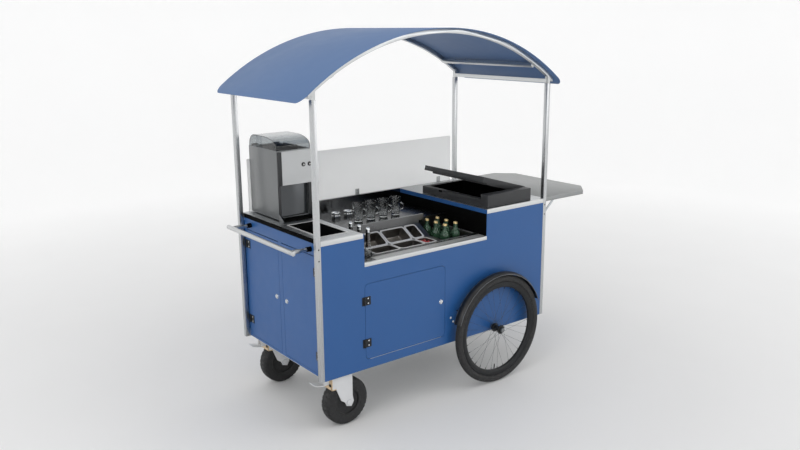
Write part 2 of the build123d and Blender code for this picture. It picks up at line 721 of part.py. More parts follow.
def garnish_station():
    """Bent steel frame for the pans, closed at both ends, with the bottle well beside it."""
    left = LEFT + PAN_START - STATION_MARGIN
    right = LEFT + WELL_LEFT
    frame = slab_yz(station_profile(), left, right)
    for plane, length in pan_rows():
        for x_low, x_high in garnish_openings():
            low = (LEFT + x_low + 2 * PAN_FLANGE, 2 * PAN_FLANGE, -2 * SHEET)
            high = (LEFT + x_high - 2 * PAN_FLANGE, length - 2 * PAN_FLANGE, 2 * SHEET)
            frame = frame - plane * block(low, high)
    return frame + station_cheek(left) + station_cheek(right - SHEET) + bottle_well()


def bottle_sink():
    """Depth of the bottle well's floor under its rim."""
    return BOTTLE_HEIGHT + CAP_HEIGHT + LEDGE_Z + SHEET - GLASS_SHELF_Z


def steel_ware():
    """Garnish pans in both rows and the cups on the glass shelf."""
    return group(steel_pans() + steel_cups())


def steel_pans():
    """Garnish pans hung in both rows by their flanges."""
    pans = []
    for plane, length in pan_rows():
        for x_low, x_high in garnish_openings():
            left = LEFT + x_low + PAN_FLANGE / 2
            right = LEFT + x_high - PAN_FLANGE / 2
            flange = block((left, PAN_FLANGE, 0), (right, length - PAN_FLANGE, PAN_WALL))
            inset = 2 * PAN_FLANGE + FIT_GAP
            low = (LEFT + x_low + inset, inset, -PAN_DEPTH)
            high = (LEFT + x_high - inset, length - inset, PAN_WALL)
            hollow_low = (low[0] + PAN_WALL, low[1] + PAN_WALL, low[2] + PAN_WALL)
            hollow_high = (high[0] - PAN_WALL, high[1] - PAN_WALL, 2 * PAN_WALL)
            pans.append(plane * (flange + block(low, high) - block(hollow_low, hollow_high)))
    return pans


def steel_cups():
    """Small two-tier cups on the glass shelf."""
    waist = 0.8 * CUP_RADIUS
    profile = [
        (0, 0),
        (waist, 0),
        (CUP_RADIUS, 0.4 * CUP_HEIGHT),
        (waist, 0.5 * CUP_HEIGHT),
        (waist, 0.6 * CUP_HEIGHT),
        (CUP_RADIUS, 0.8 * CUP_HEIGHT),
        (CUP_RADIUS, CUP_HEIGHT),
        (0, CUP_HEIGHT),
    ]
    cups = []
    for index in range(2):
        x = LEFT + CUP_START[0] + index * CUP_PITCH
        cups.append(Pos(x, FRONT + CUP_START[1], GLASS_SHELF_Z) * turned(profile))
    return cups


def mugs():
    """Flared glass mugs in a row on the glass shelf."""
    shapes = []
    for index in range(4):
        body = turned([(0, 0), (MUG_FOOT_RADIUS, 0), (MUG_RADIUS, MUG_HEIGHT), (0, MUG_HEIGHT)])
        ring = Rot(90, 0, 0) * Torus(MUG_HANDLE_RADIUS, MUG_HANDLE_THICK)
        grip = (MUG_RADIUS + MUG_FOOT_RADIUS) / 2
        handle = Rot(0, 0, MUG_TURN_DEG) * Pos(grip, 0, MUG_HEIGHT / 2) * ring - body
        x = LEFT + MUG_START[0] + index * MUG_PITCH
        floor = MUG_FOOT_RADIUS + (MUG_RADIUS - MUG_FOOT_RADIUS) * MUG_BASE / MUG_HEIGHT - MUG_WALL
        rim = MUG_RADIUS - MUG_WALL
        core = turned([(0, MUG_BASE), (floor, MUG_BASE), (rim, MUG_HEIGHT), (0, MUG_HEIGHT)])
        shapes.append(Pos(x, FRONT + MUG_START[1], GLASS_SHELF_Z) * (body - core + handle))
    return shapes


def bottle_places():
    """Foot of each bottle in the well."""
    floor = LEDGE_Z + SHEET - bottle_sink()
    places = []
    for column in range(2):
        for row in range(3):
            x = LEFT + BOTTLE_START[0] + column * BOTTLE_PITCH
            places.append((x, FRONT + BOTTLE_START[1] + row * BOTTLE_PITCH, floor))
    return places


def bottles():
    """Closed glass bottles standing in the well."""
    profile = [
        (0, 0),
        (BOTTLE_RADIUS, 0),
        (BOTTLE_RADIUS, 0.8 * BOTTLE_HEIGHT),
        (0.8 * BOTTLE_RADIUS, 0.87 * BOTTLE_HEIGHT),
        (BOTTLE_NECK_RADIUS, 0.92 * BOTTLE_HEIGHT),
        (BOTTLE_NECK_RADIUS, BOTTLE_HEIGHT),
        (0, BOTTLE_HEIGHT),
    ]
    return group([Pos(*place) * turned(profile) for place in bottle_places()])


def bottle_caps():
    """Gold caps on the bottles."""
    cap = Cylinder(CAP_RADIUS, CAP_HEIGHT, align=(Align.CENTER, Align.CENTER, Align.MIN))
    return group([Pos(x, y, z + BOTTLE_HEIGHT) * cap for x, y, z in bottle_places()])


def cruet_places():
    """Foot of each cruet on the ledge left of the pans."""
    x = LEFT + CRUET_START[0]
    return [(x, FRONT + CRUET_START[1] + row * CRUET_PITCH, LEDGE_Z) for row in range(3)]


def cruets():
    """Tall glass cruets with a wide foot and a round top."""
    top = CRUET_HEIGHT + CRUET_TOP_HEIGHT
    profile = [
        (0, 0),
        (CRUET_RADIUS, 0),
        (CRUET_RADIUS, 0.22 * CRUET_HEIGHT),
        (CRUET_NECK_RADIUS, 0.45 * CRUET_HEIGHT),
        (CRUET_NECK_RADIUS, CRUET_HEIGHT),
        (CRUET_TOP_RADIUS, CRUET_HEIGHT + 0.4 * CRUET_TOP_HEIGHT),
        (0.8 * CRUET_TOP_RADIUS, CRUET_HEIGHT + 0.8 * CRUET_TOP_HEIGHT),
        (0, top),
    ]
    return [Pos(*place) * turned(profile) for place in cruet_places()]


def glassware():
    """Mugs on the glass shelf and cruets on the ledge."""
    return group(mugs() + cruets())


def fixed_knuckles(leaf, length):
    """Fixed half of a pin hinge along local Z: a leaf, the two outer knuckles and the pin."""
    half = length / 2
    middle = length / 6
    barrel = rod((0, 0, -half), (0, 0, half), KNUCKLE_RADIUS)
    room = rod((0, 0, -middle), (0, 0, middle), KNUCKLE_RADIUS + FIT_GAP)
    pin = rod((0, 0, -half), (0, 0, half), PIN_RADIUS)
    return leaf + barrel - room + pin


def moving_knuckle(leaf, length):
    """Moving half of a pin hinge along local Z: a leaf and the middle knuckle, bored for the pin."""
    half = length / 2
    middle = length / 6 - FIT_GAP
    low_room = rod((0, 0, -half - FIT_GAP), (0, 0, -middle), KNUCKLE_RADIUS + FIT_GAP)
    high_room = rod((0, 0, middle), (0, 0, half + FIT_GAP), KNUCKLE_RADIUS + FIT_GAP)
    knuckle = rod((0, 0, -middle), (0, 0, middle), KNUCKLE_RADIUS)
    bore = rod((0, 0, -half), (0, 0, half), PIN_RADIUS + RUNNING_GAP)
    return leaf - low_room - high_room + knuckle - bore


def door_leaf_fixed():
    """Fixed leaf of a door hinge, flat on the face beside the opening."""
    half = HINGE_HEIGHT / 2
    leaf = block((-HINGE_FIXED_LEAF, -HINGE_STAND, -half), (0, LEAF_THICK - HINGE_STAND, half))
    return fixed_knuckles(leaf, HINGE_HEIGHT)


def door_leaf_moving():
    """Moving leaf of a door hinge, flat on the door's face."""
    half = HINGE_HEIGHT / 2
    leaf = block((0, -HINGE_STAND, -half), (HINGE_LEAF, LEAF_THICK - HINGE_STAND, half))
    return moving_knuckle(leaf, HINGE_HEIGHT)


def front_hinge_planes():
    """Hinge axes of the front door."""
    x = LEFT + FRONT_DOOR_LEFT - HINGE_OFFSET
    y = FACE - HINGE_STAND
    return [Plane(origin=(x, y, z), x_dir=(1, 0, 0), z_dir=(0, 0, -1)) for z in FRONT_HINGE_HEIGHTS]


def end_hinge_planes(side):
    """Hinge axes of one end door; side is -1 for the front door of the pair and 1 for the back one."""
    x = END_FACE - HINGE_STAND
    y = side * (BODY_WIDTH / 2 - END_HINGE_INSET)
    return [Plane(origin=(x, y, z), x_dir=(0, -side, 0), z_dir=(0, 0, -side)) for z in END_HINGE_HEIGHTS]


def shelf_hinge_axis():
    """X and Z of the side shelf's hinge."""
    return RIGHT + SHELF_HINGE_OUT, COUNTER_Z - SHELF_DEPTH - SHELF_HINGE_DROP


def shelf_hinge_planes():
    """Places of the two shelf hinges, axis along local Z and up along local Y."""
    x, z = shelf_hinge_axis()
    half = SHELF_HINGE_SPACING / 2
    return [Plane(origin=(x, y, z), x_dir=(1, 0, 0), z_dir=(0, -1, 0)) for y in (-half, half)]


def shelf_leaf_fixed():
    """Fixed half of a shelf hinge, on the end rail."""
    half = SHELF_KNUCKLE_LENGTH / 2
    leaf = block((-SHELF_HINGE_OUT, -KNUCKLE_RADIUS, -half), (0, LEAF_THICK - KNUCKLE_RADIUS, half))
    return fixed_knuckles(leaf, SHELF_KNUCKLE_LENGTH)


def shelf_leaf_moving():
    """Moving half of a shelf hinge, up to the underside of the shelf's top."""
    third = SHELF_KNUCKLE_LENGTH / 6 - FIT_GAP
    rise = SHELF_HINGE_DROP + SHELF_DEPTH - SHELF_SKIN
    leaf = block((-LEAF_THICK / 2, 0, -third), (LEAF_THICK / 2, rise, third))
    return moving_knuckle(leaf, SHELF_KNUCKLE_LENGTH)


def lid_axis():
    """X and Z of the ice box lid's hinge."""
    return LEFT + BOX_RIGHT + HINGE_STAND, BOX_RIM_Z - KNUCKLE_RADIUS


def lid_hinge_planes():
    """Places of the two ice box lid hinges, axis along local Z and up along local Y."""
    x, z = lid_axis()
    front = FRONT + BOX_FRONT + BOX_FRONT_WALL + LID_KNUCKLE_LENGTH
    back = FRONT + BOX_BACK - LID_KNUCKLE_LENGTH
    return [Plane(origin=(x, y, z), x_dir=(1, 0, 0), z_dir=(0, -1, 0)) for y in (front, back)]


def lid_leaf_fixed():
    """Fixed half of an ice box lid hinge, on the box's side."""
    half = LID_KNUCKLE_LENGTH / 2
    leaf = block((-HINGE_STAND, -4 * KNUCKLE_RADIUS, -half), (LEAF_THICK - HINGE_STAND, 0, half))
    arm = block((-HINGE_STAND, -LEAF_THICK, -half), (0, 0, half))
    return fixed_knuckles(leaf + arm, LID_KNUCKLE_LENGTH)


def lid_leaf_moving():
    """Moving half of an ice box lid hinge, round the lid's edge."""
    third = LID_KNUCKLE_LENGTH / 6 - FIT_GAP
    low = KNUCKLE_RADIUS + FIT_GAP
    arm = block((-HINGE_STAND, low, -third), (KNUCKLE_RADIUS, low + LID_THICK / 2, third))
    drop = block((0, 0, -third), (KNUCKLE_RADIUS, low, third))
    return moving_knuckle(arm + drop, LID_KNUCKLE_LENGTH)


def crusher_hinge_planes():
    """Places of the two clear lid hinges, axis along local Z, back along local X and up along local Y."""
    y = FRONT + CRUSHER_BACK - HINGE_STAND
    z = CRUSHER_TOP_Z + HINGE_STAND
    planes = []
    for x in (CRUSHER_LEFT + CRUSHER_HINGE_LENGTH, CRUSHER_RIGHT - CRUSHER_HINGE_LENGTH):
        planes.append(Plane(origin=(LEFT + x, y, z), x_dir=(0, 1, 0), z_dir=(1, 0, 0)))
    return planes


def crusher_leaf_fixed():
    """Fixed half of a clear lid hinge, standing on the casing."""
    half = CRUSHER_HINGE_LENGTH / 2
    leaf = block((-LEAF_THICK / 2, -HINGE_STAND, -half), (HINGE_STAND, 0, half))
    return fixed_knuckles(leaf, CRUSHER_HINGE_LENGTH)


def crusher_leaf_moving():
    """Moving half of a clear lid hinge, on the lid's back wall."""
    third = CRUSHER_HINGE_LENGTH / 6 - FIT_GAP
    leaf = block((-HINGE_STAND, 0, -third), (0, KNUCKLE_RADIUS, third))
    return moving_knuckle(leaf, CRUSHER_HINGE_LENGTH)


def fixed_hardware():
    """All hinge halves that stay with the cart, and the brackets of the shelf's stays."""
    pieces = [plane * door_leaf_fixed() for plane in front_hinge_planes()]
    for side in (-1, 1):
        pieces += [plane * door_leaf_fixed() for plane in end_hinge_planes(side)]
    pieces += [plane * shelf_leaf_fixed() for plane in shelf_hinge_planes()]
    pieces += [plane * lid_leaf_fixed() for plane in lid_hinge_planes()]
    pieces += [plane * crusher_leaf_fixed() for plane in crusher_hinge_planes()]
    return group(pieces + stay_brackets())


def door_leaves(planes):
    """Moving hinge leaves of one door."""
    return group([plane * door_leaf_moving() for plane in planes])


def cam_lock(tongue_length):
    """Cam lock for a door whose outer face is at local Z = 0: head, barrel and a tongue along local Y."""
    tongue_face = -PANEL_THICK - TONGUE_CLEARANCE
    tongue_back = tongue_face - LOCK_TONGUE_THICK
    head_face = FIT_GAP + LOCK_HEAD_PROUD
    head = rod((0, 0, FIT_GAP), (0, 0, head_face), LOCK_HEAD_RADIUS)
    barrel = rod((0, 0, tongue_back), (0, 0, FIT_GAP), LOCK_BARREL_RADIUS)
    half = LOCK_TONGUE_WIDTH / 2
    tongue = block((-half, 0, tongue_back), (half, tongue_length, tongue_face))
    slot_low = (-LOCK_SLOT / 2, -LOCK_HEAD_RADIUS / 2, head_face - LOCK_HEAD_PROUD / 2)
    slot = block(slot_low, (LOCK_SLOT / 2, LOCK_HEAD_RADIUS / 2, head_face + LOCK_HEAD_PROUD))
    return head + barrel + tongue - slot


def lock_hole(plane):
    """Hole in a door for a lock's barrel."""
    reach = 2 * PANEL_THICK
    return plane * rod((0, 0, -reach), (0, 0, reach), LOCK_BARREL_RADIUS + RUNNING_GAP)


def front_lock_plane():
    """Face plane of the front door's lock, outwards along Z and up along Y."""
    return Plane(origin=(LEFT + FRONT_LOCK[0], FACE, FRONT_LOCK[1]), x_dir=(1, 0, 0), z_dir=(0, -1, 0))


def end_lock_plane(side):
    """Face plane of an end door's lock, outwards along Z and up along Y."""
    y = side * (MULLION_WIDTH / 2 + DOOR_GAP + END_LOCK_INSET)
    return Plane(origin=(END_FACE, y, END_LOCK_Z), x_dir=(0, -1, 0), z_dir=(-1, 0, 0))


def front_door():
    """Access door in the front panel."""
    return front_door_outline(0, FACE, FACE_BACK) - lock_hole(front_lock_plane())


def end_door(side):
    """One door of the pair at the push end."""
    free_edge = side * (MULLION_WIDTH / 2 + DOOR_GAP)
    hinge_edge = side * (BODY_WIDTH / 2 - END_HINGE_INSET - DOOR_GAP)
    bottom = BASE_Z + END_PANEL_LIFT + END_SILL + DOOR_GAP
    low = (END_FACE, min(free_edge, hinge_edge), bottom)
    high = (INNER_LEFT - FIT_GAP, max(free_edge, hinge_edge), END_DOOR_TOP)
    return block(low, high) - lock_hole(end_lock_plane(side))


def push_handle():
    """Push bar with its two arms."""
    x = LEFT - HANDLE_REACH
    half = BODY_WIDTH / 2 - HANDLE_END_INSET
    bar = rod((x, -half, HANDLE_Z), (x, half, HANDLE_Z), HANDLE_RADIUS)
    for side in (-1, 1):
        y = side * (BODY_WIDTH / 2 - ARM_INSET)
        bar = bar + rod((x, y, HANDLE_Z), (END_FACE - BUSH_LENGTH, y, HANDLE_Z), ARM_RADIUS)
    return bar


def handle_bushes():
    """Black bushes between the arms and the end panel."""
    bushes = []
    for side in (-1, 1):
        y = side * (BODY_WIDTH / 2 - ARM_INSET)
        bushes.append(rod((END_FACE - BUSH_LENGTH, y, HANDLE_Z), (END_FACE, y, HANDLE_Z), BUSH_RADIUS))
    return bushes


def wheel_tyre():
    """Bicycle tyre about Y at the origin, seated on the rim."""
    section = Pos(WHEEL_RADIUS - TYRE_SECTION, 0) * Circle(TYRE_SECTION)
    seat = Pos(RIM_SEAT_RADIUS / 2, 0) * Rectangle(RIM_SEAT_RADIUS, 2 * RIM_SEAT_RADIUS)
    return Rot(-90, 0, 0) * revolve(Plane.XZ * (section - seat), Axis.Z)


def wheel_rim():
    """Deep rim about Y at the origin, tapered towards the spokes."""
    half = RIM_WIDTH / 2
    depth = RIM_SEAT_RADIUS - RIM_INNER_RADIUS
    profile = [
        (RIM_INNER_RADIUS, -half / 2),
        (RIM_INNER_RADIUS + depth / 2, -half),
        (RIM_SEAT_RADIUS, -half),
        (RIM_SEAT_RADIUS, half),
        (RIM_INNER_RADIUS + depth / 2, half),
        (RIM_INNER_RADIUS, half / 2),
    ]
    return Rot(-90, 0, 0) * turned(profile)


def wheel_hub():
    """Hub shell with two spoke flanges and a bore for the dead axle, about Y at the origin."""
    half = HUB_WIDTH / 2
    shell = rod((0, -half, 0), (0, half, 0), HUB_RADIUS)
    for side in (-1, 1):
        inner = side * (half - 2 * HUB_FLANGE_THICK)
        shell = shell + rod((0, inner, 0), (0, inner + side * HUB_FLANGE_THICK, 0), HUB_FLANGE_RADIUS)
    return shell - rod((0, -HUB_WIDTH, 0), (0, HUB_WIDTH, 0), AXLE_RADIUS + RUNNING_GAP)


def wheel_spokes():
    """Hub with its crossed spokes, which end just inside the rim, about Y at the origin."""
    spokes = []
    flange = HUB_WIDTH / 2 - 1.5 * HUB_FLANGE_THICK
    reach = RIM_INNER_RADIUS - FIT_GAP
    for index in range(SPOKE_COUNT):
        side = 1 if index % 2 else -1
        lean = 1 if (index // 2) % 2 else -1
        rim_angle = math.radians(360.0 * index / SPOKE_COUNT)
        hub_angle = rim_angle + lean * math.radians(SPOKE_TWIST_DEG)
        start_x = SPOKE_HOLE_RADIUS * math.cos(hub_angle)
        start_z = SPOKE_HOLE_RADIUS * math.sin(hub_angle)
        end = (reach * math.cos(rim_angle), 0, reach * math.sin(rim_angle))
        spokes.append(rod((start_x, side * flange, start_z), end, SPOKE_RADIUS))
    return wheel_hub() + spokes


def wheel_place(side):
    """Centre of a bicycle wheel; side is -1 at the front and 1 at the back."""
    return Pos(LEFT + WHEEL_X, side * WHEEL_PLANE, AXLE_Z)


def wheel_axle():
    """Dead axle through the base rails with a nut outside and a collar inside each wheel."""
    half = HUB_WIDTH / 2 + HUB_END_GAP
    reach = WHEEL_PLANE + half + AXLE_NUT_LENGTH
    x = LEFT + WHEEL_X
    axle = rod((x, -reach, AXLE_Z), (x, reach, AXLE_Z), AXLE_RADIUS)
    for side in (-1, 1):
        nut = side * (WHEEL_PLANE + half)
        axle = axle + rod((x, nut, AXLE_Z), (x, nut + side * AXLE_NUT_LENGTH, AXLE_Z), AXLE_NUT_RADIUS)
        collar = side * (WHEEL_PLANE - half)
        panel = side * (BODY_WIDTH / 2 - FACE_INSET)
        axle = axle + rod((x, collar, AXLE_Z), (x, panel, AXLE_Z), AXLE_NUT_RADIUS)
    return axle


def mudguard(side):
    """Arched guard over a bicycle wheel with the stays that carry it on the panel."""
    x = LEFT + WHEEL_X
    low = side * WHEEL_PLANE - GUARD_WIDTH / 2
    high = side * WHEEL_PLANE + GUARD_WIDTH / 2
    place = Plane(origin=(x, high, AXLE_Z), x_dir=(1, 0, 0), z_dir=(0, -1, 0))
    outer = GUARD_RADIUS + GUARD_THICK
    sweep = GUARD_END_DEG - GUARD_START_DEG
    start = math.radians(GUARD_START_DEG)
    end = math.radians(GUARD_END_DEG)
    outline = Curve() + [
        CenterArc((0, 0), outer, GUARD_START_DEG, sweep),
        CenterArc((0, 0), GUARD_RADIUS, GUARD_START_DEG, sweep),
        Line((GUARD_RADIUS * math.cos(start), GUARD_RADIUS * math.sin(start)),
             (outer * math.cos(start), outer * math.sin(start))),
        Line((GUARD_RADIUS * math.cos(end), GUARD_RADIUS * math.sin(end)),
             (outer * math.cos(end), outer * math.sin(end))),
    ]
    guard = extrude(place * make_face(outline), high - low)
    panel = side * (BODY_WIDTH / 2 - FACE_INSET)
    middle = GUARD_RADIUS + GUARD_THICK / 2 - GUARD_STAY_RADIUS
    for angle in GUARD_STAY_ANGLES:
        turn = math.radians(angle)
        stay_x = x + middle * math.cos(turn)
        stay_z = AXLE_Z + middle * math.sin(turn)
        start_y = side * WHEEL_PLANE
        guard = guard + rod((stay_x, start_y, stay_z), (stay_x, panel, stay_z), GUARD_STAY_RADIUS)
    return guard


def caster_centre(side):
    """Swivel axis of a caster; side is -1 at the front and 1 at the back."""
    return LEFT + CASTER_X, side * (BODY_WIDTH / 2 - CASTER_INSET)


def caster_plates():
    """Top plates bolted under the bolsters, with the upper half of the swivel head."""
    plates = []
    length, width, thick = CASTER_PLATE
    for side in (-1, 1):
        x, y = caster_centre(side)
        low = (x - length / 2, y - width / 2, BASE_Z - thick)
        plate = block(low, (x + length / 2, y + width / 2, BASE_Z))
        plate_under = BASE_Z - thick
        crown_top = plate_under - CASTER_CROWN_DROP
        king = rod((x, y, crown_top - CASTER_CROWN_THICK), (x, y, plate_under), KING_PIN_RADIUS)
        race = rod((x, y, crown_top + FIT_GAP), (x, y, plate_under), CASTER_HEAD_RADIUS)
        plates.append(plate + race + king)
    return group(plates)


def fork_side(side):
    """Y distance from the caster's middle to the inside of its fork legs."""
    return side * (CASTER_WHEEL_WIDTH / 2 + FORK_SIDE_GAP)


def pedal_pivot_height():
    """Height of the brake pedal's pivot, below the crown."""
    return BASE_Z - CASTER_PLATE[2] - CASTER_CROWN_DROP - CASTER_CROWN_THICK / 2 - PEDAL_DROP


def caster_fork(side):
    """Swivel fork: crown under the plate with a front web, two tapered legs and the wheel bolt."""
    x, y = caster_centre(side)
    crown_top = BASE_Z - CASTER_PLATE[2] - CASTER_CROWN_DROP
    crown_low = crown_top - CASTER_CROWN_THICK
    crown_front = x - FORK_FRONT
    crown_back = x + FORK_BACK
    axle_x = x + CASTER_TRAIL
    outside = CASTER_WHEEL_WIDTH / 2 + FORK_SIDE_GAP + FORK_THICK
    crown = block((crown_front, y - outside, crown_low), (crown_back, y + outside, crown_top))
    cheek_low = crown_low - FORK_CHEEK_DEPTH
    web_low = (crown_front, y - outside, (crown_low + cheek_low) / 2)
    crown = crown + block(web_low, (crown_front + FORK_THICK, y + outside, crown_low))
    king = rod((x, y, crown_low - FIT_GAP), (x, y, crown_top + FIT_GAP), KING_PIN_RADIUS + RUNNING_GAP)
    fork = crown - king
    axle_z = CASTER_WHEEL_RADIUS
    for leg in (-1, 1):
        inner = y + fork_side(leg)
        outer = inner + leg * FORK_THICK
        outline = [
            (crown_front, crown_low),
            (crown_back, crown_low),
            (crown_back, axle_z + FORK_FOOT_RADIUS),
            (axle_x + FORK_FOOT_RADIUS, axle_z),
            (axle_x + 0.5 * FORK_FOOT_RADIUS, axle_z - 0.9 * FORK_FOOT_RADIUS),
            (axle_x - 0.5 * FORK_FOOT_RADIUS, axle_z - 0.6 * FORK_FOOT_RADIUS),
            (axle_x - 0.8 * FORK_FOOT_RADIUS, axle_z + 0.1 * FORK_FOOT_RADIUS),
            (axle_x - 1.6 * FORK_FOOT_RADIUS, axle_z + 0.7 * FORK_FOOT_RADIUS),
            (crown_front + FORK_CHEEK_RUN, cheek_low),
            (crown_front, cheek_low),
        ]
        fork = fork + slab_xz(outline, min(inner, outer), max(inner, outer))
        end = outer + leg * CASTER_BOLT_LENGTH
        fork = fork + rod((axle_x, outer, axle_z), (axle_x, end, axle_z), CASTER_BOLT_RADIUS)
    bolt = rod((axle_x, y - outside, axle_z), (axle_x, y + outside, axle_z), CASTER_AXLE_RADIUS)
    pivot_z = pedal_pivot_height()
    for ear in (-1, 1):
        near = y + ear * (PEDAL_WIDTH / 4 + FIT_GAP)
        far = near + ear * PEDAL_THICK
        low = (x - PEDAL_PIVOT_REACH - PEDAL_EYE_RADIUS, min(near, far), pivot_z - PEDAL_EYE_RADIUS)
        fork = fork + block(low, (crown_front, max(near, far), crown_top))
    span = PEDAL_WIDTH / 4 + FIT_GAP + PEDAL_THICK
    pin = rod((x - PEDAL_PIVOT_REACH, y - span, pivot_z), (x - PEDAL_PIVOT_REACH, y + span, pivot_z),
              PEDAL_PIN_RADIUS)
    return fork + bolt + pin


def caster_wheel(side):
    """Caster wheel: a rounded tyre on a dished centre, bored for the bolt."""
    x, y = caster_centre(side)
    half = CASTER_WHEEL_WIDTH / 2
    body = Rot(90, 0, 0) * Cylinder(CASTER_WHEEL_RADIUS, CASTER_WHEEL_WIDTH)
    body = fillet(body.edges().filter_by(GeomType.CIRCLE), CASTER_TYRE_ROUND)
    reach = half + FORK_SIDE_GAP - HUB_END_GAP
    for face in (-1, 1):
        dish = rod((0, face * half, 0), (0, face * half * 2 / 3, 0), CASTER_DISH_RADIUS)
        boss = rod((0, face * reach, 0), (0, 0, 0), CASTER_BOSS_RADIUS)
        body = body - dish + boss
    body = body - rod((0, -reach, 0), (0, reach, 0), CASTER_AXLE_RADIUS + RUNNING_GAP)
    return Pos(x + CASTER_TRAIL, y, CASTER_WHEEL_RADIUS) * body


def caster_brake(side):
    """Brake pedal that pivots between the ears of the fork."""
    x, y = caster_centre(side)
    pivot = x - PEDAL_PIVOT_REACH
    z = pedal_pivot_height()
    half = PEDAL_WIDTH / 4
    low = z - PEDAL_THICK / 2
    high = z + PEDAL_THICK / 2
    root = pivot - PEDAL_TREAD_GAP
    eye = rod((pivot, y - half, z), (pivot, y + half, z), PEDAL_EYE_RADIUS)
    bore = rod((pivot, y - half, z), (pivot, y + half, z), PEDAL_PIN_RADIUS + RUNNING_GAP)
    neck = block((root - PEDAL_THICK / 2, y - half, low), (pivot, y + half, high))
    tip = pivot - PEDAL_LENGTH
    profile = [(root, low), (root, high), (tip, high + PEDAL_KICK), (tip, low + PEDAL_KICK)]
    tread = slab_xz(profile, y - PEDAL_WIDTH / 2, y + PEDAL_WIDTH / 2)
    return eye + neck + tread - bore


def shelf_plan(inset):
    """Plan of the side shelf with its two chamfered corners."""
    left = RIGHT + SHELF_GAP + inset
    right = RIGHT + SHELF_REACH - inset
    front = FRONT + SHELF_INSET + inset
    back = BACK - SHELF_INSET - inset
    cut = SHELF_CHAMFER - inset * (2 - math.sqrt(2))
    return [
        (left, front),
        (right - cut, front),
        (right, front + cut),
        (right, back - cut),
        (right - cut, back),
        (left, back),
    ]


def stay_anchors():
    """X and Z of the stays' pivots on the cart and on the shelf."""
    x, z = shelf_hinge_axis()
    return (x - STAY_OFFSET, z - STAY_REACH), (x + STAY_REACH, z - STAY_OFFSET)


def stay_sides():
    """Middle Y of each stay and the direction in which its shelf link lies."""
    return [(side * STAY_SPACING / 2, -side) for side in (-1, 1)]


def side_shelf():
    """Drop shelf: a folded tray with knuckles at its root and lugs for the stays."""
    top = COUNTER_Z
    bottom = COUNTER_Z - SHELF_DEPTH
    tray = slab_xy(shelf_plan(0), bottom, top)
    tray = tray - slab_xy(shelf_plan(SHELF_SKIN), bottom - SHELF_SKIN, top - SHELF_SKIN)
    for plane in shelf_hinge_planes():
        tray = tray + plane * shelf_leaf_moving()
    lug_x, lug_z = stay_anchors()[1]
    half = STAY_WIDTH / 2
    for middle, toward in stay_sides():
        start = middle + toward * (STAY_THICK + 2 * STAY_SIDE_GAP)
        far = start + toward * STAY_LUG_THICK
        low = (lug_x - half, min(start, far), lug_z - half)
        tray = tray + block(low, (lug_x + half, max(start, far), top - SHELF_SKIN))
        near = middle + toward * STAY_SIDE_GAP
        tray = tray + rod((lug_x, near, lug_z), (lug_x, far, lug_z), STAY_PIN_RADIUS)
    return tray


def stay_brackets():
    """Lugs on the right end panel that carry the lower links."""
    lugs = []
    x, z = stay_anchors()[0]
    half = STAY_WIDTH / 2
    for middle, toward in stay_sides():
        start = middle - toward * (STAY_THICK + 2 * STAY_SIDE_GAP)
        far = start - toward * STAY_LUG_THICK
        lug = block((RIGHT - END_INSET, min(start, far), z - half), (x + half, max(start, far), z + half))
        pin = rod((x, middle - toward * STAY_SIDE_GAP, z), (x, far, z), STAY_PIN_RADIUS)
        lugs.append(lug + pin)
    return lugs


def stay_link(anchor, other, y_low, y_high):
    """Flat link from an anchor to the middle of the stay, bored at the anchor."""
    ax, az = anchor
    middle = ((ax + other[0]) / 2, (az + other[1]) / 2)
    span = Vector(middle[0] - ax, 0, middle[1] - az)
    along = span.normalized()
    place = Plane(origin=(ax, y_low, az), x_dir=along, z_dir=(0, 1, 0))
    half = STAY_WIDTH / 2
    bar = block((0, -half, 0), (span.length, half, y_high - y_low))
    for end in (0, span.length):
        bar = bar + rod((end, 0, 0), (end, 0, y_high - y_low), half)
    bore = rod((0, 0, 0), (0, 0, y_high - y_low), STAY_PIN_RADIUS + RUNNING_GAP)
    return place * (bar - bore)


def stay_links(on_shelf):
    """The pair of links that pivot on the shelf, or on the cart."""
    links = []
    cart, shelf = stay_anchors()
    for middle, toward in stay_sides():
        way = toward if on_shelf else -toward
        near = middle + way * STAY_SIDE_GAP
        far = near + way * STAY_THICK
        ends = (shelf, cart) if on_shelf else (cart, shelf)
        links.append(stay_link(ends[0], ends[1], min(near, far), max(near, far)))
    return group(links)


def icebox_body():
    """Insulated box: a rim above the counter, a tub through it and a taller front wall."""
    left = LEFT + BOX_LEFT
    right = LEFT + BOX_RIGHT
    front = FRONT + BOX_FRONT
    back = FRONT + BOX_BACK
    rim = block((left, front, COUNTER_Z), (right, back, BOX_RIM_Z))
    wall = block((left, front, BOX_RIM_Z), (right, front + BOX_FRONT_WALL, BOX_RIM_Z + LID_THICK))
    tub_floor = COUNTER_Z - BOX_TUB_DEPTH
    tub_low = (left + BOX_TUB_INSET, front + BOX_TUB_INSET, tub_floor)
    tub = block(tub_low, (right - BOX_TUB_INSET, back - BOX_TUB_INSET, COUNTER_Z))
    hollow_low = (left + BOX_WALL, front + BOX_FRONT_WALL, tub_floor + BOX_WALL - BOX_TUB_INSET)
    hollow = block(hollow_low, (right - BOX_WALL, back - BOX_WALL, BOX_RIM_Z + LID_THICK))
    return rim + wall + tub - hollow


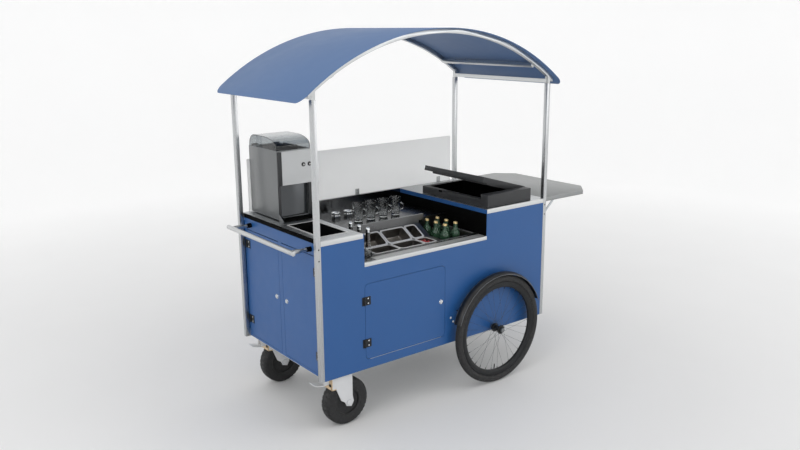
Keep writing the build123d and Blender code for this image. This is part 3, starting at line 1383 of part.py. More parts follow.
def icebox_lid():
    """Thick lid with an inset plug, hinged on its wheel-end side and standing partly open."""
    x, z = lid_axis()
    left = LEFT + BOX_LEFT
    right = LEFT + BOX_RIGHT
    front = FRONT + BOX_FRONT + BOX_FRONT_WALL + LID_GAP
    back = FRONT + BOX_BACK
    low = BOX_RIM_Z + FIT_GAP
    lid = block((left, front, low), (right, back, BOX_RIM_Z + LID_THICK))
    inset = BOX_WALL + LID_PLUG_INSET
    plug_low = (left + inset, front + LID_PLUG_INSET, low - LID_PLUG_DEPTH)
    lid = lid + block(plug_low, (right - inset, back - inset, low))
    for plane in lid_hinge_planes():
        lid = lid + plane * lid_leaf_moving()
    return Pos(x, 0, z) * Rot(0, LID_OPEN_DEG, 0) * Pos(-x, 0, -z) * lid


def crusher_low_z():
    """Underside of the ice crusher's body above its feet."""
    return COUNTER_Z + CRUSHER_FOOT


def button_places():
    """X of the two push buttons."""
    return [LEFT + CRUSHER_RIGHT - inset for inset in BUTTON_INSETS]


def drum_axis():
    """X and Z of the crushing drum's shaft."""
    return LEFT + CRUSHER_RIGHT - DRUM_INSET, CRUSHER_TOP_Z - DRUM_DROP


def crusher_body():
    """Ice crusher's casing with the drawer's bay in front and the hopper on top."""
    left = LEFT + CRUSHER_LEFT
    right = LEFT + CRUSHER_RIGHT
    front = FRONT + CRUSHER_FRONT
    back = FRONT + CRUSHER_BACK
    case = block((left, front, crusher_low_z()), (right, back, CRUSHER_TOP_Z))
    bay_low = (left + BAY_SIDE, front - CRUSHER_WALL, BAY_BOTTOM_Z)
    bay = block(bay_low, (right - BAY_SIDE, front + BAY_DEPTH, BAY_TOP_Z))
    hopper_low = (left + CRUSHER_WALL, front + CRUSHER_WALL, HOPPER_FLOOR_Z)
    hopper = block(hopper_low, (right - CRUSHER_WALL, back - CRUSHER_WALL, CRUSHER_TOP_Z + CRUSHER_WALL))
    motor_low = (left + CRUSHER_WALL, front + BAY_DEPTH + CRUSHER_WALL, crusher_low_z() + CRUSHER_WALL)
    motor_high = (right - CRUSHER_WALL, back - CRUSHER_WALL, HOPPER_FLOOR_Z - CRUSHER_WALL)
    gear_low = (left + CRUSHER_WALL, front + 2 * CRUSHER_WALL, BAY_TOP_Z + CRUSHER_WALL)
    gear_high = (right - CRUSHER_WALL, front + BAY_DEPTH + CRUSHER_WALL, HOPPER_FLOOR_Z - CRUSHER_WALL)
    case = case - bay - hopper - block(motor_low, motor_high) - block(gear_low, gear_high)
    vent_x = (left + right) / 2
    vent_y = (motor_low[1] + motor_high[1]) / 2
    vent_end = (vent_x, vent_y, motor_low[2] + CRUSHER_WALL)
    case = case - rod((vent_x, vent_y, COUNTER_Z), vent_end, VENT_RADIUS)
    inset = 2 * CRUSHER_FOOT_RADIUS
    for x in (left + inset, LEFT + LEFT_COUNTER_END - inset):
        for y in (front + inset, back - inset):
            case = case + rod((x, y, COUNTER_Z), (x, y, crusher_low_z()), CRUSHER_FOOT_RADIUS)
    shaft_x, shaft_z = drum_axis()
    socket_front = front + CRUSHER_WALL - DRUM_SOCKET
    socket_back = back - CRUSHER_WALL + DRUM_SOCKET
    socket_radius = DRUM_SHAFT_RADIUS + RUNNING_GAP
    case = case - rod((shaft_x, socket_front, shaft_z), (shaft_x, socket_back, shaft_z), socket_radius)
    for x in button_places():
        pocket_end = (x, front + BUTTON_POCKET, BUTTON_Z)
        case = case - rod((x, front, BUTTON_Z), pocket_end, BUTTON_RADIUS + RUNNING_GAP)
    return case


def crusher_cover():
    """Front cover over the mechanism, chamfered on its left side and bored for the buttons."""
    left = LEFT + CRUSHER_LEFT + COVER_SIDE
    right = LEFT + CRUSHER_RIGHT
    back = FRONT + CRUSHER_FRONT
    front = back - COVER_THICK
    outline = [(left, back), (left + COVER_THICK, front), (right, front), (right, back)]
    cover = slab_xy(outline, BAY_TOP_Z, CRUSHER_TOP_Z - COVER_TOP_MARGIN)
    for x in button_places():
        cover = cover - rod((x, front, BUTTON_Z), (x, back, BUTTON_Z), BUTTON_RADIUS + RUNNING_GAP)
    return cover


def crusher_button(x):
    """Push button in the cover, with room behind it for its travel."""
    face = FRONT + CRUSHER_FRONT
    start = face - COVER_THICK - BUTTON_PROUD
    end = face + BUTTON_POCKET - BUTTON_TRAVEL - BUTTON_END_GAP
    return rod((x, start, BUTTON_Z), (x, end, BUTTON_Z), BUTTON_RADIUS)


def crusher_drum():
    """Bladed crushing drum on its shaft across the hopper."""
    x, z = drum_axis()
    front = FRONT + CRUSHER_FRONT + CRUSHER_WALL - DRUM_SOCKET + HUB_END_GAP
    back = FRONT + CRUSHER_BACK - CRUSHER_WALL + DRUM_SOCKET - HUB_END_GAP
    middle = (front + back) / 2
    low = middle - DRUM_LENGTH / 2
    high = middle + DRUM_LENGTH / 2
    drum = rod((0, low, 0), (0, high, 0), DRUM_CORE_RADIUS)
    half = DRUM_BLADE_THICK / 2
    for index in range(DRUM_BLADES):
        blade = block((0, low, -half), (DRUM_RADIUS, high, half))
        drum = drum + Rot(0, 360.0 * index / DRUM_BLADES, 0) * blade
    return Pos(x, 0, z) * (drum + rod((0, front, 0), (0, back, 0), DRUM_SHAFT_RADIUS))


def clear_lid_outline(inset):
    """Side outline of the clear lid in Y and Z, drawn in by an inset on all sides but the open bottom."""
    front = FRONT + CRUSHER_FRONT + inset
    back = FRONT + CRUSHER_BACK - 2 * HINGE_STAND - inset
    low = CRUSHER_TOP_Z + FIT_GAP
    crest = FRONT + CRUSHER_FRONT + CLEAR_LID_CREST
    top = CRUSHER_TOP_Z + CLEAR_LID_RISE - inset
    radius = CLEAR_LID_BACK_ROUND - inset
    front_top = low + CLEAR_LID_FRONT_RISE - inset
    outline = Curve() + [
        Line((front, low), (front, front_top)),
        TangentArc((crest, top), (front, front_top), tangent=(-1, 0), tangent_from_first=True),
        Line((crest, top), (back - radius, top)),
        CenterArc((back - radius, top - radius), radius, 0, 90),
        Line((back, top - radius), (back, low)),
        Line((back, low), (front, low)),
    ]
    return make_face(outline)


def crusher_lid():
    """Clear domed lid over the hopper, hinged at its back."""
    left = LEFT + CRUSHER_LEFT
    right = LEFT + CRUSHER_RIGHT
    wall = CLEAR_LID_WALL
    outer_place = Plane(origin=(left, 0, 0), x_dir=(0, 1, 0), z_dir=(1, 0, 0))
    inner_place = Plane(origin=(left + wall, 0, 0), x_dir=(0, 1, 0), z_dir=(1, 0, 0))
    lid = extrude(outer_place * clear_lid_outline(0), right - left)
    lid = lid - extrude(inner_place * clear_lid_outline(wall), right - left - 2 * wall)
    for plane in crusher_hinge_planes():
        lid = lid + plane * crusher_leaf_moving()
    return lid


def ice_drawer():
    """Drawer for the crushed ice: a tall front plate, a pull lip under it and an open box behind it."""
    low_x = LEFT + CRUSHER_LEFT + BAY_SIDE + FIT_GAP
    high_x = LEFT + CRUSHER_RIGHT - BAY_SIDE - FIT_GAP
    front = FRONT + CRUSHER_FRONT
    plate = front + DRAWER_SETBACK
    back = front + BAY_DEPTH - DRAWER_END_GAP
    bin_high = (high_x, back, BAY_BOTTOM_Z + DRAWER_HEIGHT)
    drawer = open_box((low_x, plate, BAY_BOTTOM_Z), bin_high, DRAWER_WALL)
    plate_high = (high_x, plate + DRAWER_WALL, BAY_TOP_Z - DRAWER_END_GAP)
    drawer = drawer + block((low_x, plate, BAY_BOTTOM_Z), plate_high)
    lip = front - DRAWER_REACH
    drawer = drawer + block((low_x, lip, BAY_BOTTOM_Z), (high_x, plate, BAY_BOTTOM_Z + DRAWER_WALL))
    lip_high = (high_x, lip + DRAWER_WALL, BAY_BOTTOM_Z + DRAWER_LIP_HEIGHT)
    return drawer + block((low_x, lip, BAY_BOTTOM_Z), lip_high)


def backboard():
    """Frosted board along the back edge of the counters."""
    back = BACK - BOARD_INSET
    low = (LEFT + BOARD_LEFT, back - BOARD_THICK, COUNTER_Z)
    return block(low, (LEFT + BOARD_RIGHT, back, BOARD_TOP_Z))


def board_brackets():
    """Angle tabs that hold the backboard's foot."""
    face = BACK - BOARD_INSET - BOARD_THICK
    half = BRACKET_WIDTH / 2
    brackets = []
    for step in (-1, 0, 1):
        x = MIDDLE + step * BRACKET_SPACING
        tab_low = (x - half, face - BRACKET_THICK, COUNTER_Z)
        tab = block(tab_low, (x + half, face, COUNTER_Z + BRACKET_HEIGHT))
        foot_low = (x - half, face - BRACKET_FOOT, COUNTER_Z)
        brackets.append(tab + block(foot_low, (x + half, face, COUNTER_Z + BRACKET_THICK)))
    return group(brackets)


def arch_band(radius, depth, y_low, y_high):
    """Half ring about the canopy's axis, between two depths along Y."""
    centre_z = CANOPY_APEX_Z - CANOPY_RADIUS
    start = (MIDDLE, y_low, centre_z)
    end = (MIDDLE, y_high, centre_z)
    ring = rod(start, end, radius) - rod(start, end, radius - depth)
    low = (MIDDLE - radius, y_low, centre_z + CANOPY_RADIUS / 2)
    return ring & block(low, (MIDDLE + radius, y_high, CANOPY_APEX_Z + depth))


def canopy_sheet():
    """Arched roof sheet with rounded corners."""
    low = FRONT - CANOPY_SIDE_OVERHANG
    high = BACK + CANOPY_SIDE_OVERHANG
    sheet = arch_band(CANOPY_RADIUS, CANOPY_THICK, low, high)
    length = BODY_LENGTH + 2 * CANOPY_OVERHANG
    plan = Plane(origin=(MIDDLE, 0, 0)) * RectangleRounded(length, high - low, CANOPY_CORNER)
    return sheet & extrude(plan, CANOPY_APEX_Z + CANOPY_THICK)


def canopy_frame():
    """Two arched ribs on legs that plug into the posts, tied by crossbars and by bars between the legs."""
    radius = CANOPY_RADIUS - CANOPY_THICK - FIT_GAP
    half_span = BODY_LENGTH / 2 + CANOPY_OVERHANG - RIB_END_MARGIN
    centre_z = CANOPY_APEX_Z - CANOPY_RADIUS
    margin = (POST_SIDE - RIB_WIDTH) / 2
    leg_half = POST_SIDE / 2 - TUBE_WALL - FIT_GAP
    frame = None
    for side in (-1, 1):
        outer = side * (BODY_WIDTH / 2 - margin)
        inner = outer - side * RIB_WIDTH
        low_y = min(outer, inner)
        high_y = max(outer, inner)
        rib = arch_band(radius, RIB_DEPTH, low_y, high_y)
        rib = rib & block((MIDDLE - half_span, low_y, 0), (MIDDLE + half_span, high_y, CANOPY_APEX_Z))
        for end in (-1, 1):
            x = MIDDLE + end * (BODY_LENGTH - POST_SIDE) / 2
            y = side * (BODY_WIDTH - POST_SIDE) / 2
            seat = math.sqrt(radius ** 2 - (x - MIDDLE) ** 2)
            leg_low = (x - leg_half, y - leg_half, POST_TOP_Z - LEG_PLUG)
            rib = rib + block(leg_low, (x + leg_half, y + leg_half, centre_z + seat - RIB_DEPTH / 2))
        frame = rib if frame is None else frame + rib
    length = BODY_WIDTH - 2 * margin - 2 * RIB_WIDTH
    tie_half = (BODY_WIDTH - POST_SIDE) / 2 - leg_half
    for side in (-1, 1):
        turn = math.degrees(math.asin(side * CROSSBAR_REACH / radius))
        bar = Pos(0, 0, radius - CROSSBAR_DROP) * Box(CROSSBAR_SIDE, length, CROSSBAR_SIDE)
        frame = frame + Pos(MIDDLE, 0, centre_z) * Rot(0, turn, 0) * bar
        x = MIDDLE + side * (BODY_LENGTH - POST_SIDE) / 2
        low = (x - leg_half, -tie_half, POST_TOP_Z + TIE_RISE)
        frame = frame + block(low, (x + leg_half, tie_half, POST_TOP_Z + TIE_RISE + CROSSBAR_SIDE))
    return frame


def carcass():
    """Fixed nodes of the cart's body."""
    return {
        "corner_posts": corner_posts(),
        "frame_rails": frame_rails(),
        "cabinet_floor": cabinet_floor(),
        "front_panel": front_panel(),
        "back_panel": back_panel(),
        "left_end_panel": left_end_panel(),
        "right_end_panel": right_end_panel(),
        "black_trim": black_trim(),
        "left_counter": left_counter(),
        "right_counter": right_counter(),
        "counter_trims": counter_trims(),
        "waste_bin": waste_bin(),
        "work_well": work_well(),
        "garnish_station": garnish_station(),
        "steel_ware": steel_ware(),
        "glassware": glassware(),
        "bottles": bottles(),
        "bottle_caps": bottle_caps(),
        "fixed_hardware": fixed_hardware(),
        "push_handle": push_handle(),
        "backboard": backboard(),
        "board_brackets": board_brackets(),
        "canopy_sheet": canopy_sheet(),
        "canopy_frame": canopy_frame(),
        "wheel_axle": wheel_axle(),
        "mudguards": group([mudguard(-1), mudguard(1)]),
        "caster_plates": caster_plates(),
    }


def doors():
    """Doors with their hinge leaves and locks."""
    nodes = {
        "front_door": front_door(),
        "front_door_leaves": door_leaves(front_hinge_planes()),
        "front_door_lock": front_lock_plane() * cam_lock(FRONT_TONGUE_LENGTH),
    }
    for name, side in (("end_door_front", -1), ("end_door_back", 1)):
        nodes[name] = end_door(side)
        nodes[f"{name}_leaves"] = door_leaves(end_hinge_planes(side))
        nodes[f"{name}_lock"] = end_lock_plane(side) * cam_lock(END_TONGUE_LENGTH)
    return nodes


def running_gear():
    """Bicycle wheels and casters."""
    nodes = {}
    for name, side in (("front", -1), ("back", 1)):
        nodes[f"{name}_wheel_tyre"] = wheel_place(side) * wheel_tyre()
        nodes[f"{name}_wheel_rim"] = wheel_place(side) * wheel_rim()
        nodes[f"{name}_wheel_spokes"] = wheel_place(side) * wheel_spokes()
        nodes[f"{name}_caster_fork"] = caster_fork(side)
        nodes[f"{name}_caster_wheel"] = caster_wheel(side)
        nodes[f"{name}_caster_brake"] = caster_brake(side)
    return nodes


def fittings():
    """Side shelf, ice box and ice crusher."""
    left_button, right_button = sorted(button_places())
    return {
        "side_shelf": side_shelf(),
        "shelf_stay_lower": stay_links(False),
        "shelf_stay_upper": stay_links(True),
        "icebox_body": icebox_body(),
        "icebox_lid": icebox_lid(),
        "crusher_body": crusher_body(),
        "crusher_cover": crusher_cover(),
        "crusher_lid": crusher_lid(),
        "crusher_drum": crusher_drum(),
        "crusher_button_left": crusher_button(left_button),
        "crusher_button_right": crusher_button(right_button),
        "ice_drawer": ice_drawer(),
    }


def main():
    """Build every node and write it to its own file."""
    os.makedirs("parts", exist_ok=True)
    nodes = {**carcass(), **doors(), **running_gear(), **fittings()}
    for name, shape in nodes.items():
        export_step(shape, f"parts/{name}.step")


main()
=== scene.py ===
"""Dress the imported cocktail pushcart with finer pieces, real finishes, a studio and a camera.

The classes work in cart millimetres: X from the left face of the posts, Y back from the front face of
the posts and Z up from the floor. Each finished piece is set down in the frame's metres.
"""

import json
import logging
import math
from collections.abc import Iterable, Iterator, Sequence
from dataclasses import dataclass
from enum import Enum
from typing import Any

import bmesh
import bpy
from mathutils import Matrix, Vector

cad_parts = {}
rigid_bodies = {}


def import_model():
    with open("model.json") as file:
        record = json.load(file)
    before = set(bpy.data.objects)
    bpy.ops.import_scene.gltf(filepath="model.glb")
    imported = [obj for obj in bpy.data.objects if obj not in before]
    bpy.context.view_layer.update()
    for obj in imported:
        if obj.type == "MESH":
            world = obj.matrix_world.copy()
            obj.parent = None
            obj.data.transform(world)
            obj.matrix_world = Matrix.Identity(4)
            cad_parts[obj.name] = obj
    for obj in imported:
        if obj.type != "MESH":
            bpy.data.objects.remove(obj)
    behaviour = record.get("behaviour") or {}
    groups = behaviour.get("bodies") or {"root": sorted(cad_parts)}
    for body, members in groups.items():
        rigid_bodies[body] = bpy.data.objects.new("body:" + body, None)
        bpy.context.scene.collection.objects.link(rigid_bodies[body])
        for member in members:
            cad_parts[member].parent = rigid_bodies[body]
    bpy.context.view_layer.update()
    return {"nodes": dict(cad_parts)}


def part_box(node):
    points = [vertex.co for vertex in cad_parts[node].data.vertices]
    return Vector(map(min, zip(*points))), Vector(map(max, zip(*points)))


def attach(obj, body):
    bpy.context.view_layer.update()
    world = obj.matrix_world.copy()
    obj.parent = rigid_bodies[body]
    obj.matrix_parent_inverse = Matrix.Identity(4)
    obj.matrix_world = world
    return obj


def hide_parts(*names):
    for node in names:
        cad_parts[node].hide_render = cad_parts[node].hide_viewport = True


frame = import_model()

LOG = logging.getLogger("pushcart")

Pair = tuple[float, float]
Point = tuple[float, float, float]
Outline = Sequence[Pair]
# Lowest corner, highest corner and rounding of a block
Slab = tuple[Point, Point, float]
# First place, pitch and number of a row
Row = tuple[float, float, int]
Shape = bmesh.types.BMesh
Tree = bpy.types.NodeTree

# The frame's place of the cart's zero corner, in millimetres
CORNER = Vector((-998.75, -419.0, 0.0))
TO_FRAME = Matrix.Scale(0.001, 4) @ Matrix.Translation(CORNER)
MIDDLE_Y = 419.0

FRONTWARD = (0.0, -1.0, 0.0)
BACKWARD = (0.0, 1.0, 0.0)
LEFTWARD = (-1.0, 0.0, 0.0)
RIGHTWARD = (1.0, 0.0, 0.0)
# Both sides of a middle line
HANDS = (-1.0, 1.0)
# Stands a flat ring up
UPRIGHT = Matrix.Rotation(math.pi / 2, 4, "X")
# Rounding of thin sheet edges
SHEET_ROUND = 0.3
# Distance in millimetres within which two points of a turned skin are one
MERGE = 0.001
# Share of a face's normal along Z past which it counts as level
LEVEL = 0.9
# Angles in radians past which a solid's edge and a rod's end edge are rounded
SOLID_EDGE = 0.6
ROD_EDGE = 1.0


class Side(Enum):
    """The two long sides of the cart."""

    FRONT = -1
    BACK = 1

    @property
    def word(self) -> str:
        """Return the word that the side's parts are named with."""
        return self.name.lower()


END_DOORS = {"end_door_front": Side.FRONT, "end_door_back": Side.BACK}


class Pattern(Enum):
    """Texture nodes that a finish can be drawn with."""

    NOISE = "ShaderNodeTexNoise"
    CELLS = "ShaderNodeTexVoronoi"


class Grain(Enum):
    """Directions that a brushed or drawn surface was worked in."""

    ALONG_X = 0
    ALONG_Y = 1
    ALONG_Z = 2

    def stretch(self, line: float, length: float) -> Point:
        """Return a pattern size with fine lines along the grain.

        Args:
            line: Width of one line in millimetres.
            length: Length of one line in millimetres.

        Returns:
            The size along X, Y and Z.
        """
        sizes = [line, line, line]
        sizes[self.value] = length
        return (sizes[0], sizes[1], sizes[2])


def linear(code: str) -> tuple[float, float, float, float]:
    """Turn an sRGB hex colour into linear light.

    Args:
        code: The colour as "#rrggbb".

    Returns:
        Linear red, green and blue, with an alpha of one.
    """
    parts = [int(code[start:start + 2], 16) / 255 for start in (1, 3, 5)]
    red, green, blue = (c / 12.92 if c <= 0.04045 else ((c + 0.055) / 1.055) ** 2.4 for c in parts)
    return (red, green, blue, 1.0)


def feed(tree: Tree, node: bpy.types.Node, inputs: dict[Any, Any]) -> None:
    """Set a node's sockets, or link what feeds them.

    Args:
        tree: The material's node tree.
        node: The node.
        inputs: Sockets by name or number, each with a value or with the socket that feeds it.
    """
    for socket, value in inputs.items():
        if isinstance(value, bpy.types.NodeSocket):
            tree.links.new(value, node.inputs[socket])
        else:
            node.inputs[socket].default_value = value


def add_node(tree: Tree, kind: str, inputs: dict[Any, Any], **settings: Any) -> bpy.types.Node:
    """Add a node, set it up and link what feeds it.

    Args:
        tree: The material's node tree.
        kind: Blender's name of the node.
        inputs: Sockets by name or number, each with a value or with the socket that feeds it.
        settings: Properties of the node itself.

    Returns:
        The new node.
    """
    node = tree.nodes.new(kind)
    for setting, value in settings.items():
        setattr(node, setting, value)
    feed(tree, node, inputs)
    return node


@dataclass(frozen=True)
class Finish:
    """A material with its surface finish, drawn from patterns of real sizes.

    A pattern's size is one length, or the lengths along X, Y and Z.
    """

    name: str  # The real material and how its surface was made
    slot: str  # The record's material slot, or nothing where it has none
    colour: str  # Main colour
    shade: str  # Colour of the darker or worn patches
    roughness: Pair  # Lowest and highest roughness
    metallic: float = 0.0  # One for bare metal
    tone_mm: float | Point = 180.0  # Size of the colour patches
    gloss_mm: float | Point = 70.0  # Size of the glossier patches
    relief_mm: float | Point = 3.0  # Size of the relief
    depth_mm: float = 0.03  # Height of the relief
    pattern: Pattern = Pattern.NOISE  # What the colour patches are drawn with
    ior: float = 1.5  # Refraction of a material that isn't metal
    transmission: float = 0.0  # Share of the light that goes through
    coat: float = 0.0  # Weight of a clear coat
    specular: float = 0.5  # Strength of the surface's plain reflection
    gloss_span: Pair = (0.3, 0.7)  # Pattern strengths that take the lowest and the highest roughness
    relief_strength: float = 0.6  # Share of the relief that shows

    def material(self) -> bpy.types.Material:
        """Make the material at its first use.

        Returns:
            The finish as a Blender material.
        """
        made = bpy.data.materials.get(self.name)
        if made is not None:
            return made
        made = bpy.data.materials.new(self.name)
        made.use_nodes = True
        tree = made.node_tree
        shader = tree.nodes["Principled BSDF"]
        feed(tree, shader, {"Metallic": self.metallic, "Transmission Weight": self.transmission,
                            "Coat Weight": self.coat, "Specular IOR Level": self.specular})
        if self.metallic < 0.5:
            feed(tree, shader, {"IOR": self.ior})
        where = add_node(tree, "ShaderNodeTexCoord", {}).outputs["Object"]
        tone = self.texture(tree, where, self.tone_mm, self.pattern)
        gloss = self.texture(tree, where, self.gloss_mm, Pattern.NOISE)
        relief = self.texture(tree, where, self.relief_mm, Pattern.NOISE)
        # Sockets 0, 6 and 7 are the mix node's factor and its two colours
        inks = {0: tone, 6: linear(self.shade), 7: linear(self.colour)}
        mixed = add_node(tree, "ShaderNodeMix", inks, data_type="RGBA")
        rough = add_node(tree, "ShaderNodeMapRange", {
            "Value": gloss, "From Min": self.gloss_span[0], "From Max": self.gloss_span[1],
            "To Min": self.roughness[0], "To Max": self.roughness[1]})
        bump = add_node(tree, "ShaderNodeBump", {
            "Height": relief, "Strength": self.relief_strength, "Distance": self.depth_mm / 1000})
        feed(tree, shader, {"Base Color": mixed.outputs[2], "Roughness": rough.outputs["Result"],
                            "Normal": bump.outputs["Normal"]})
        return made

    def texture(self, tree: Tree, where: bpy.types.NodeSocket, size: float | Point,
                pattern: Pattern) -> bpy.types.NodeSocket:
        """Draw a pattern at its real size.

        Args:
            tree: The material's node tree.
            where: Object coordinates, in metres.
            size: Size of one patch in millimetres.
            pattern: The texture to draw.

        Returns:
            The socket with the pattern's strength, from 0 to 1.
        """
        lengths = size if isinstance(size, tuple) else (size, size, size)
        scale = [1000 / length for length in lengths]
        mapped = add_node(tree, "ShaderNodeMapping", {"Vector": where, "Scale": scale})
        drawn = add_node(tree, pattern.value, {"Vector": mapped.outputs["Vector"], "Scale": 1.0})
        return drawn.outputs[0]


# Powder coat on sheet metal: an even strong blue with a soft sheen and a faint orange peel.
BLUE_COAT = Finish(
    "blue_powder_coat_on_sheet", "blue_paint", "#235793", "#21538e", (0.36, 0.42),
    tone_mm=260.0, relief_mm=2.4, depth_mm=0.04)
# The same coat on the arched sheet, with the paler wash of the broad light from above painted into its
# colour.
CANOPY_COAT = Finish(
    "blue_powder_coat_on_canopy", "canopy_blue", "#58749d", "#557099", (0.5, 0.54),
    tone_mm=320.0, relief_mm=2.4, depth_mm=0.04, specular=0.3)
# Anodised square tube: satin silver, with drawing lines along the post. Lines drawn about 3 times too wide.
POST_ALUMINIUM = Finish(
    "anodised_aluminium_post_tube", "post_aluminium", "#c3c5c6", "#bcbec0", (0.25, 0.3), 1.0,
    tone_mm=Grain.ALONG_Z.stretch(1.2, 300.0), gloss_mm=Grain.ALONG_Z.stretch(4.0, 220.0),
    relief_mm=Grain.ALONG_Z.stretch(1.0, 160.0), depth_mm=0.01)
# The same tube lying along the cart, for rails, ribs and crossbars.
RAIL_ALUMINIUM = Finish(
    "anodised_aluminium_rail_tube", "post_aluminium", "#cfd1d1", "#c8cacb", (0.27, 0.33), 1.0,
    tone_mm=Grain.ALONG_X.stretch(1.2, 300.0), gloss_mm=Grain.ALONG_X.stretch(4.0, 220.0),
    relief_mm=Grain.ALONG_X.stretch(1.0, 160.0), depth_mm=0.01)
# Bright drawn angle on the counter edges: pale, smooth, with a few long lines.
TRIM_ALUMINIUM = Finish(
    "bright_drawn_aluminium_angle", "post_aluminium", "#dcdddd", "#d3d5d5", (0.28, 0.36), 1.0,
    tone_mm=Grain.ALONG_X.stretch(1.5, 400.0), gloss_mm=Grain.ALONG_X.stretch(3.0, 250.0),
    relief_mm=Grain.ALONG_X.stretch(1.0, 200.0), depth_mm=0.008)
# Hot galvanised floor sheet: dull grey with a cloudy crystal pattern.
FLOOR_SHEET = Finish(
    "galvanised_steel_sheet", "post_aluminium", "#b9bdbf", "#9fa4a7", (0.35, 0.55), 1.0,
    tone_mm=14.0, pattern=Pattern.CELLS)
# Brushed stainless counter: satin silver with fine lines along the cart, drawn 4 times too wide to show.
COUNTER_STEEL = Finish(
    "brushed_stainless_counter", "counter_steel", "#c3c5c7", "#b1b4b6", (0.24, 0.4), 1.0,
    tone_mm=Grain.ALONG_X.stretch(1.2, 140.0), gloss_mm=Grain.ALONG_X.stretch(3.0, 90.0),
    relief_mm=Grain.ALONG_X.stretch(1.0, 60.0), depth_mm=0.015)
# Brushed stainless lining of the sunken work area: the same lines on a darker sheet, its dark grey painted
# shade of the sunken well.
WELL_STEEL = Finish(
    "brushed_stainless_lining", "inner_steel", "#6c6d6e", "#636465", (0.15, 0.2), 1.0,
    tone_mm=Grain.ALONG_X.stretch(1.2, 120.0), gloss_mm=45.0,
    relief_mm=Grain.ALONG_X.stretch(1.0, 60.0), depth_mm=0.004)
# Satin stainless of the garnish station: dark grey beside the dark well, painted shade of the sunken work
# area, with short rubbed lines.
STATION_STEEL = Finish(
    "satin_stainless_station", "counter_steel", "#7b7c7d", "#717273", (0.26, 0.32), 1.0,
    tone_mm=Grain.ALONG_X.stretch(1.0, 60.0), gloss_mm=(160.0, 90.0, 90.0),
    relief_mm=Grain.ALONG_X.stretch(1.0, 30.0), depth_mm=0.003)
# Deep drawn stainless pans: brown-grey inside, painted shade inside the deep pans, with soft smudges.
PAN_STEEL = Finish(
    "deep_drawn_stainless", "inner_steel", "#8d8a86", "#827f7b", (0.3, 0.38), 1.0,
    tone_mm=24.0, gloss_mm=16.0, relief_mm=6.0, depth_mm=0.004)
# Flanges of the pans: pale and even, a painted highlight of the light caught on the pans' edges.
PAN_RIM = Finish(
    "ground_stainless_flange", "inner_steel", "#dededc", "#d4d4d2", (0.36, 0.44), 0.4,
    tone_mm=14.0, gloss_mm=10.0, relief_mm=2.0, depth_mm=0.01)
# The ledge's pale skin: satin stainless, a shade darker than the trim in front of it, with soft wipe marks;
# its paleness is a painted highlight of the light on the ledge's top.
LEDGE_STEEL = Finish(
    "satin_stainless_facing", "inner_steel", "#c2c2c0", "#b8b8b6", (0.36, 0.46), 0.4,
    tone_mm=(30.0, 14.0, 14.0), gloss_mm=(24.0, 10.0, 10.0), relief_mm=(6.0, 1.2, 1.2), depth_mm=0.01)
# Spun cups: bright, with turning lines too fine to see and a few smudges.
CUP_STEEL = Finish(
    "spun_bright_stainless", "inner_steel", "#e6e7e7", "#d8d9d9", (0.12, 0.24), 1.0,
    tone_mm=9.0, gloss_mm=6.0, relief_mm=2.0, depth_mm=0.01)
# Brushed shelf tray: mid grey and dull, with lines across the cart. Lines drawn 4 times too wide to show.
SHELF_STEEL = Finish(
    "brushed_stainless_shelf", "counter_steel", "#9c9e9e", "#929494", (0.32, 0.42), 1.0,
    tone_mm=Grain.ALONG_Y.stretch(1.2, 140.0), gloss_mm=Grain.ALONG_Y.stretch(3.0, 90.0),
    relief_mm=Grain.ALONG_Y.stretch(1.0, 60.0), depth_mm=0.012)
# Moulded black ABS: deep black with a fine leather-like grain.
BLACK_ABS = Finish(
    "moulded_black_abs", "black_plastic", "#030303", "#050505", (0.66, 0.78),
    tone_mm=60.0, relief_mm=1.4, depth_mm=0.05, specular=0.06)
# Black polycarbonate mudguards: a soft highlight along the crown.
GUARD_BLACK = Finish(
    "satin_black_polycarbonate", "black_plastic", "#141415", "#1b1b1c", (0.3, 0.4),
    tone_mm=80.0, relief_mm=9.0, depth_mm=0.03, specular=0.4)
# Rolled bead on the guards' edges: its grey is a painted highlight, a thin grey line of light.
GUARD_BEAD = Finish(
    "satin_grey_edge_bead", "black_plastic", "#77797c", "#66686b", (0.3, 0.42), 0.6,
    tone_mm=20.0, gloss_mm=14.0, relief_mm=3.0, depth_mm=0.01)
# Rotomoulded polyethylene: dark grey, dull, with a pebbled skin.
BOX_PLASTIC = Finish(
    "rotomoulded_grey_polyethylene", "box_plastic", "#2f3032", "#292a2c", (0.44, 0.56),
    tone_mm=90.0, relief_mm=2.6, depth_mm=0.09)
# Pressed soda-lime glass: clear, thin and slightly wavy, with bright rims.
CLEAR_GLASS = Finish(
    "clear_soda_lime_glass", "clear_glass", "#fcfdfd", "#f8fafa", (0.0, 0.03),
    relief_mm=40.0, depth_mm=0.01, ior=1.4, transmission=1.0)
# Blown green bottle glass: deep bottle green, cloudy from the drink inside.
GREEN_GLASS = Finish(
    "green_bottle_glass", "green_glass", "#557d62", "#496f55", (0.02, 0.07),
    relief_mm=22.0, depth_mm=0.03, ior=1.52, transmission=0.6)
# Formed smoke-tinted polycarbonate: see-through grey, slightly wavy and faintly scratched.
CLEAR_LID = Finish(
    "formed_smoke_polycarbonate", "clear_glass", "#c9cdcf", "#c1c5c7", (0.02, 0.08),
    gloss_mm=12.0, relief_mm=40.0, depth_mm=0.08, ior=1.35, transmission=1.0)
# Frosted acrylic: milky, with a fine etched face that scatters what stands behind it.
FROSTED_SHEET = Finish(
    "frosted_acrylic_sheet", "frosted_board", "#f4f5f5", "#f0f1f1", (0.5, 0.62),
    tone_mm=120.0, relief_mm=1.2, depth_mm=0.03, ior=1.49, transmission=0.85)
# Gold lacquered closures: pale warm gold, softly shiny.
GOLD_CAP = Finish(
    "gold_lacquered_closure", "gold_caps", "#e6cf9c", "#d6bb80", (0.24, 0.38), 0.85,
    tone_mm=5.0, gloss_mm=4.0, relief_mm=2.0)
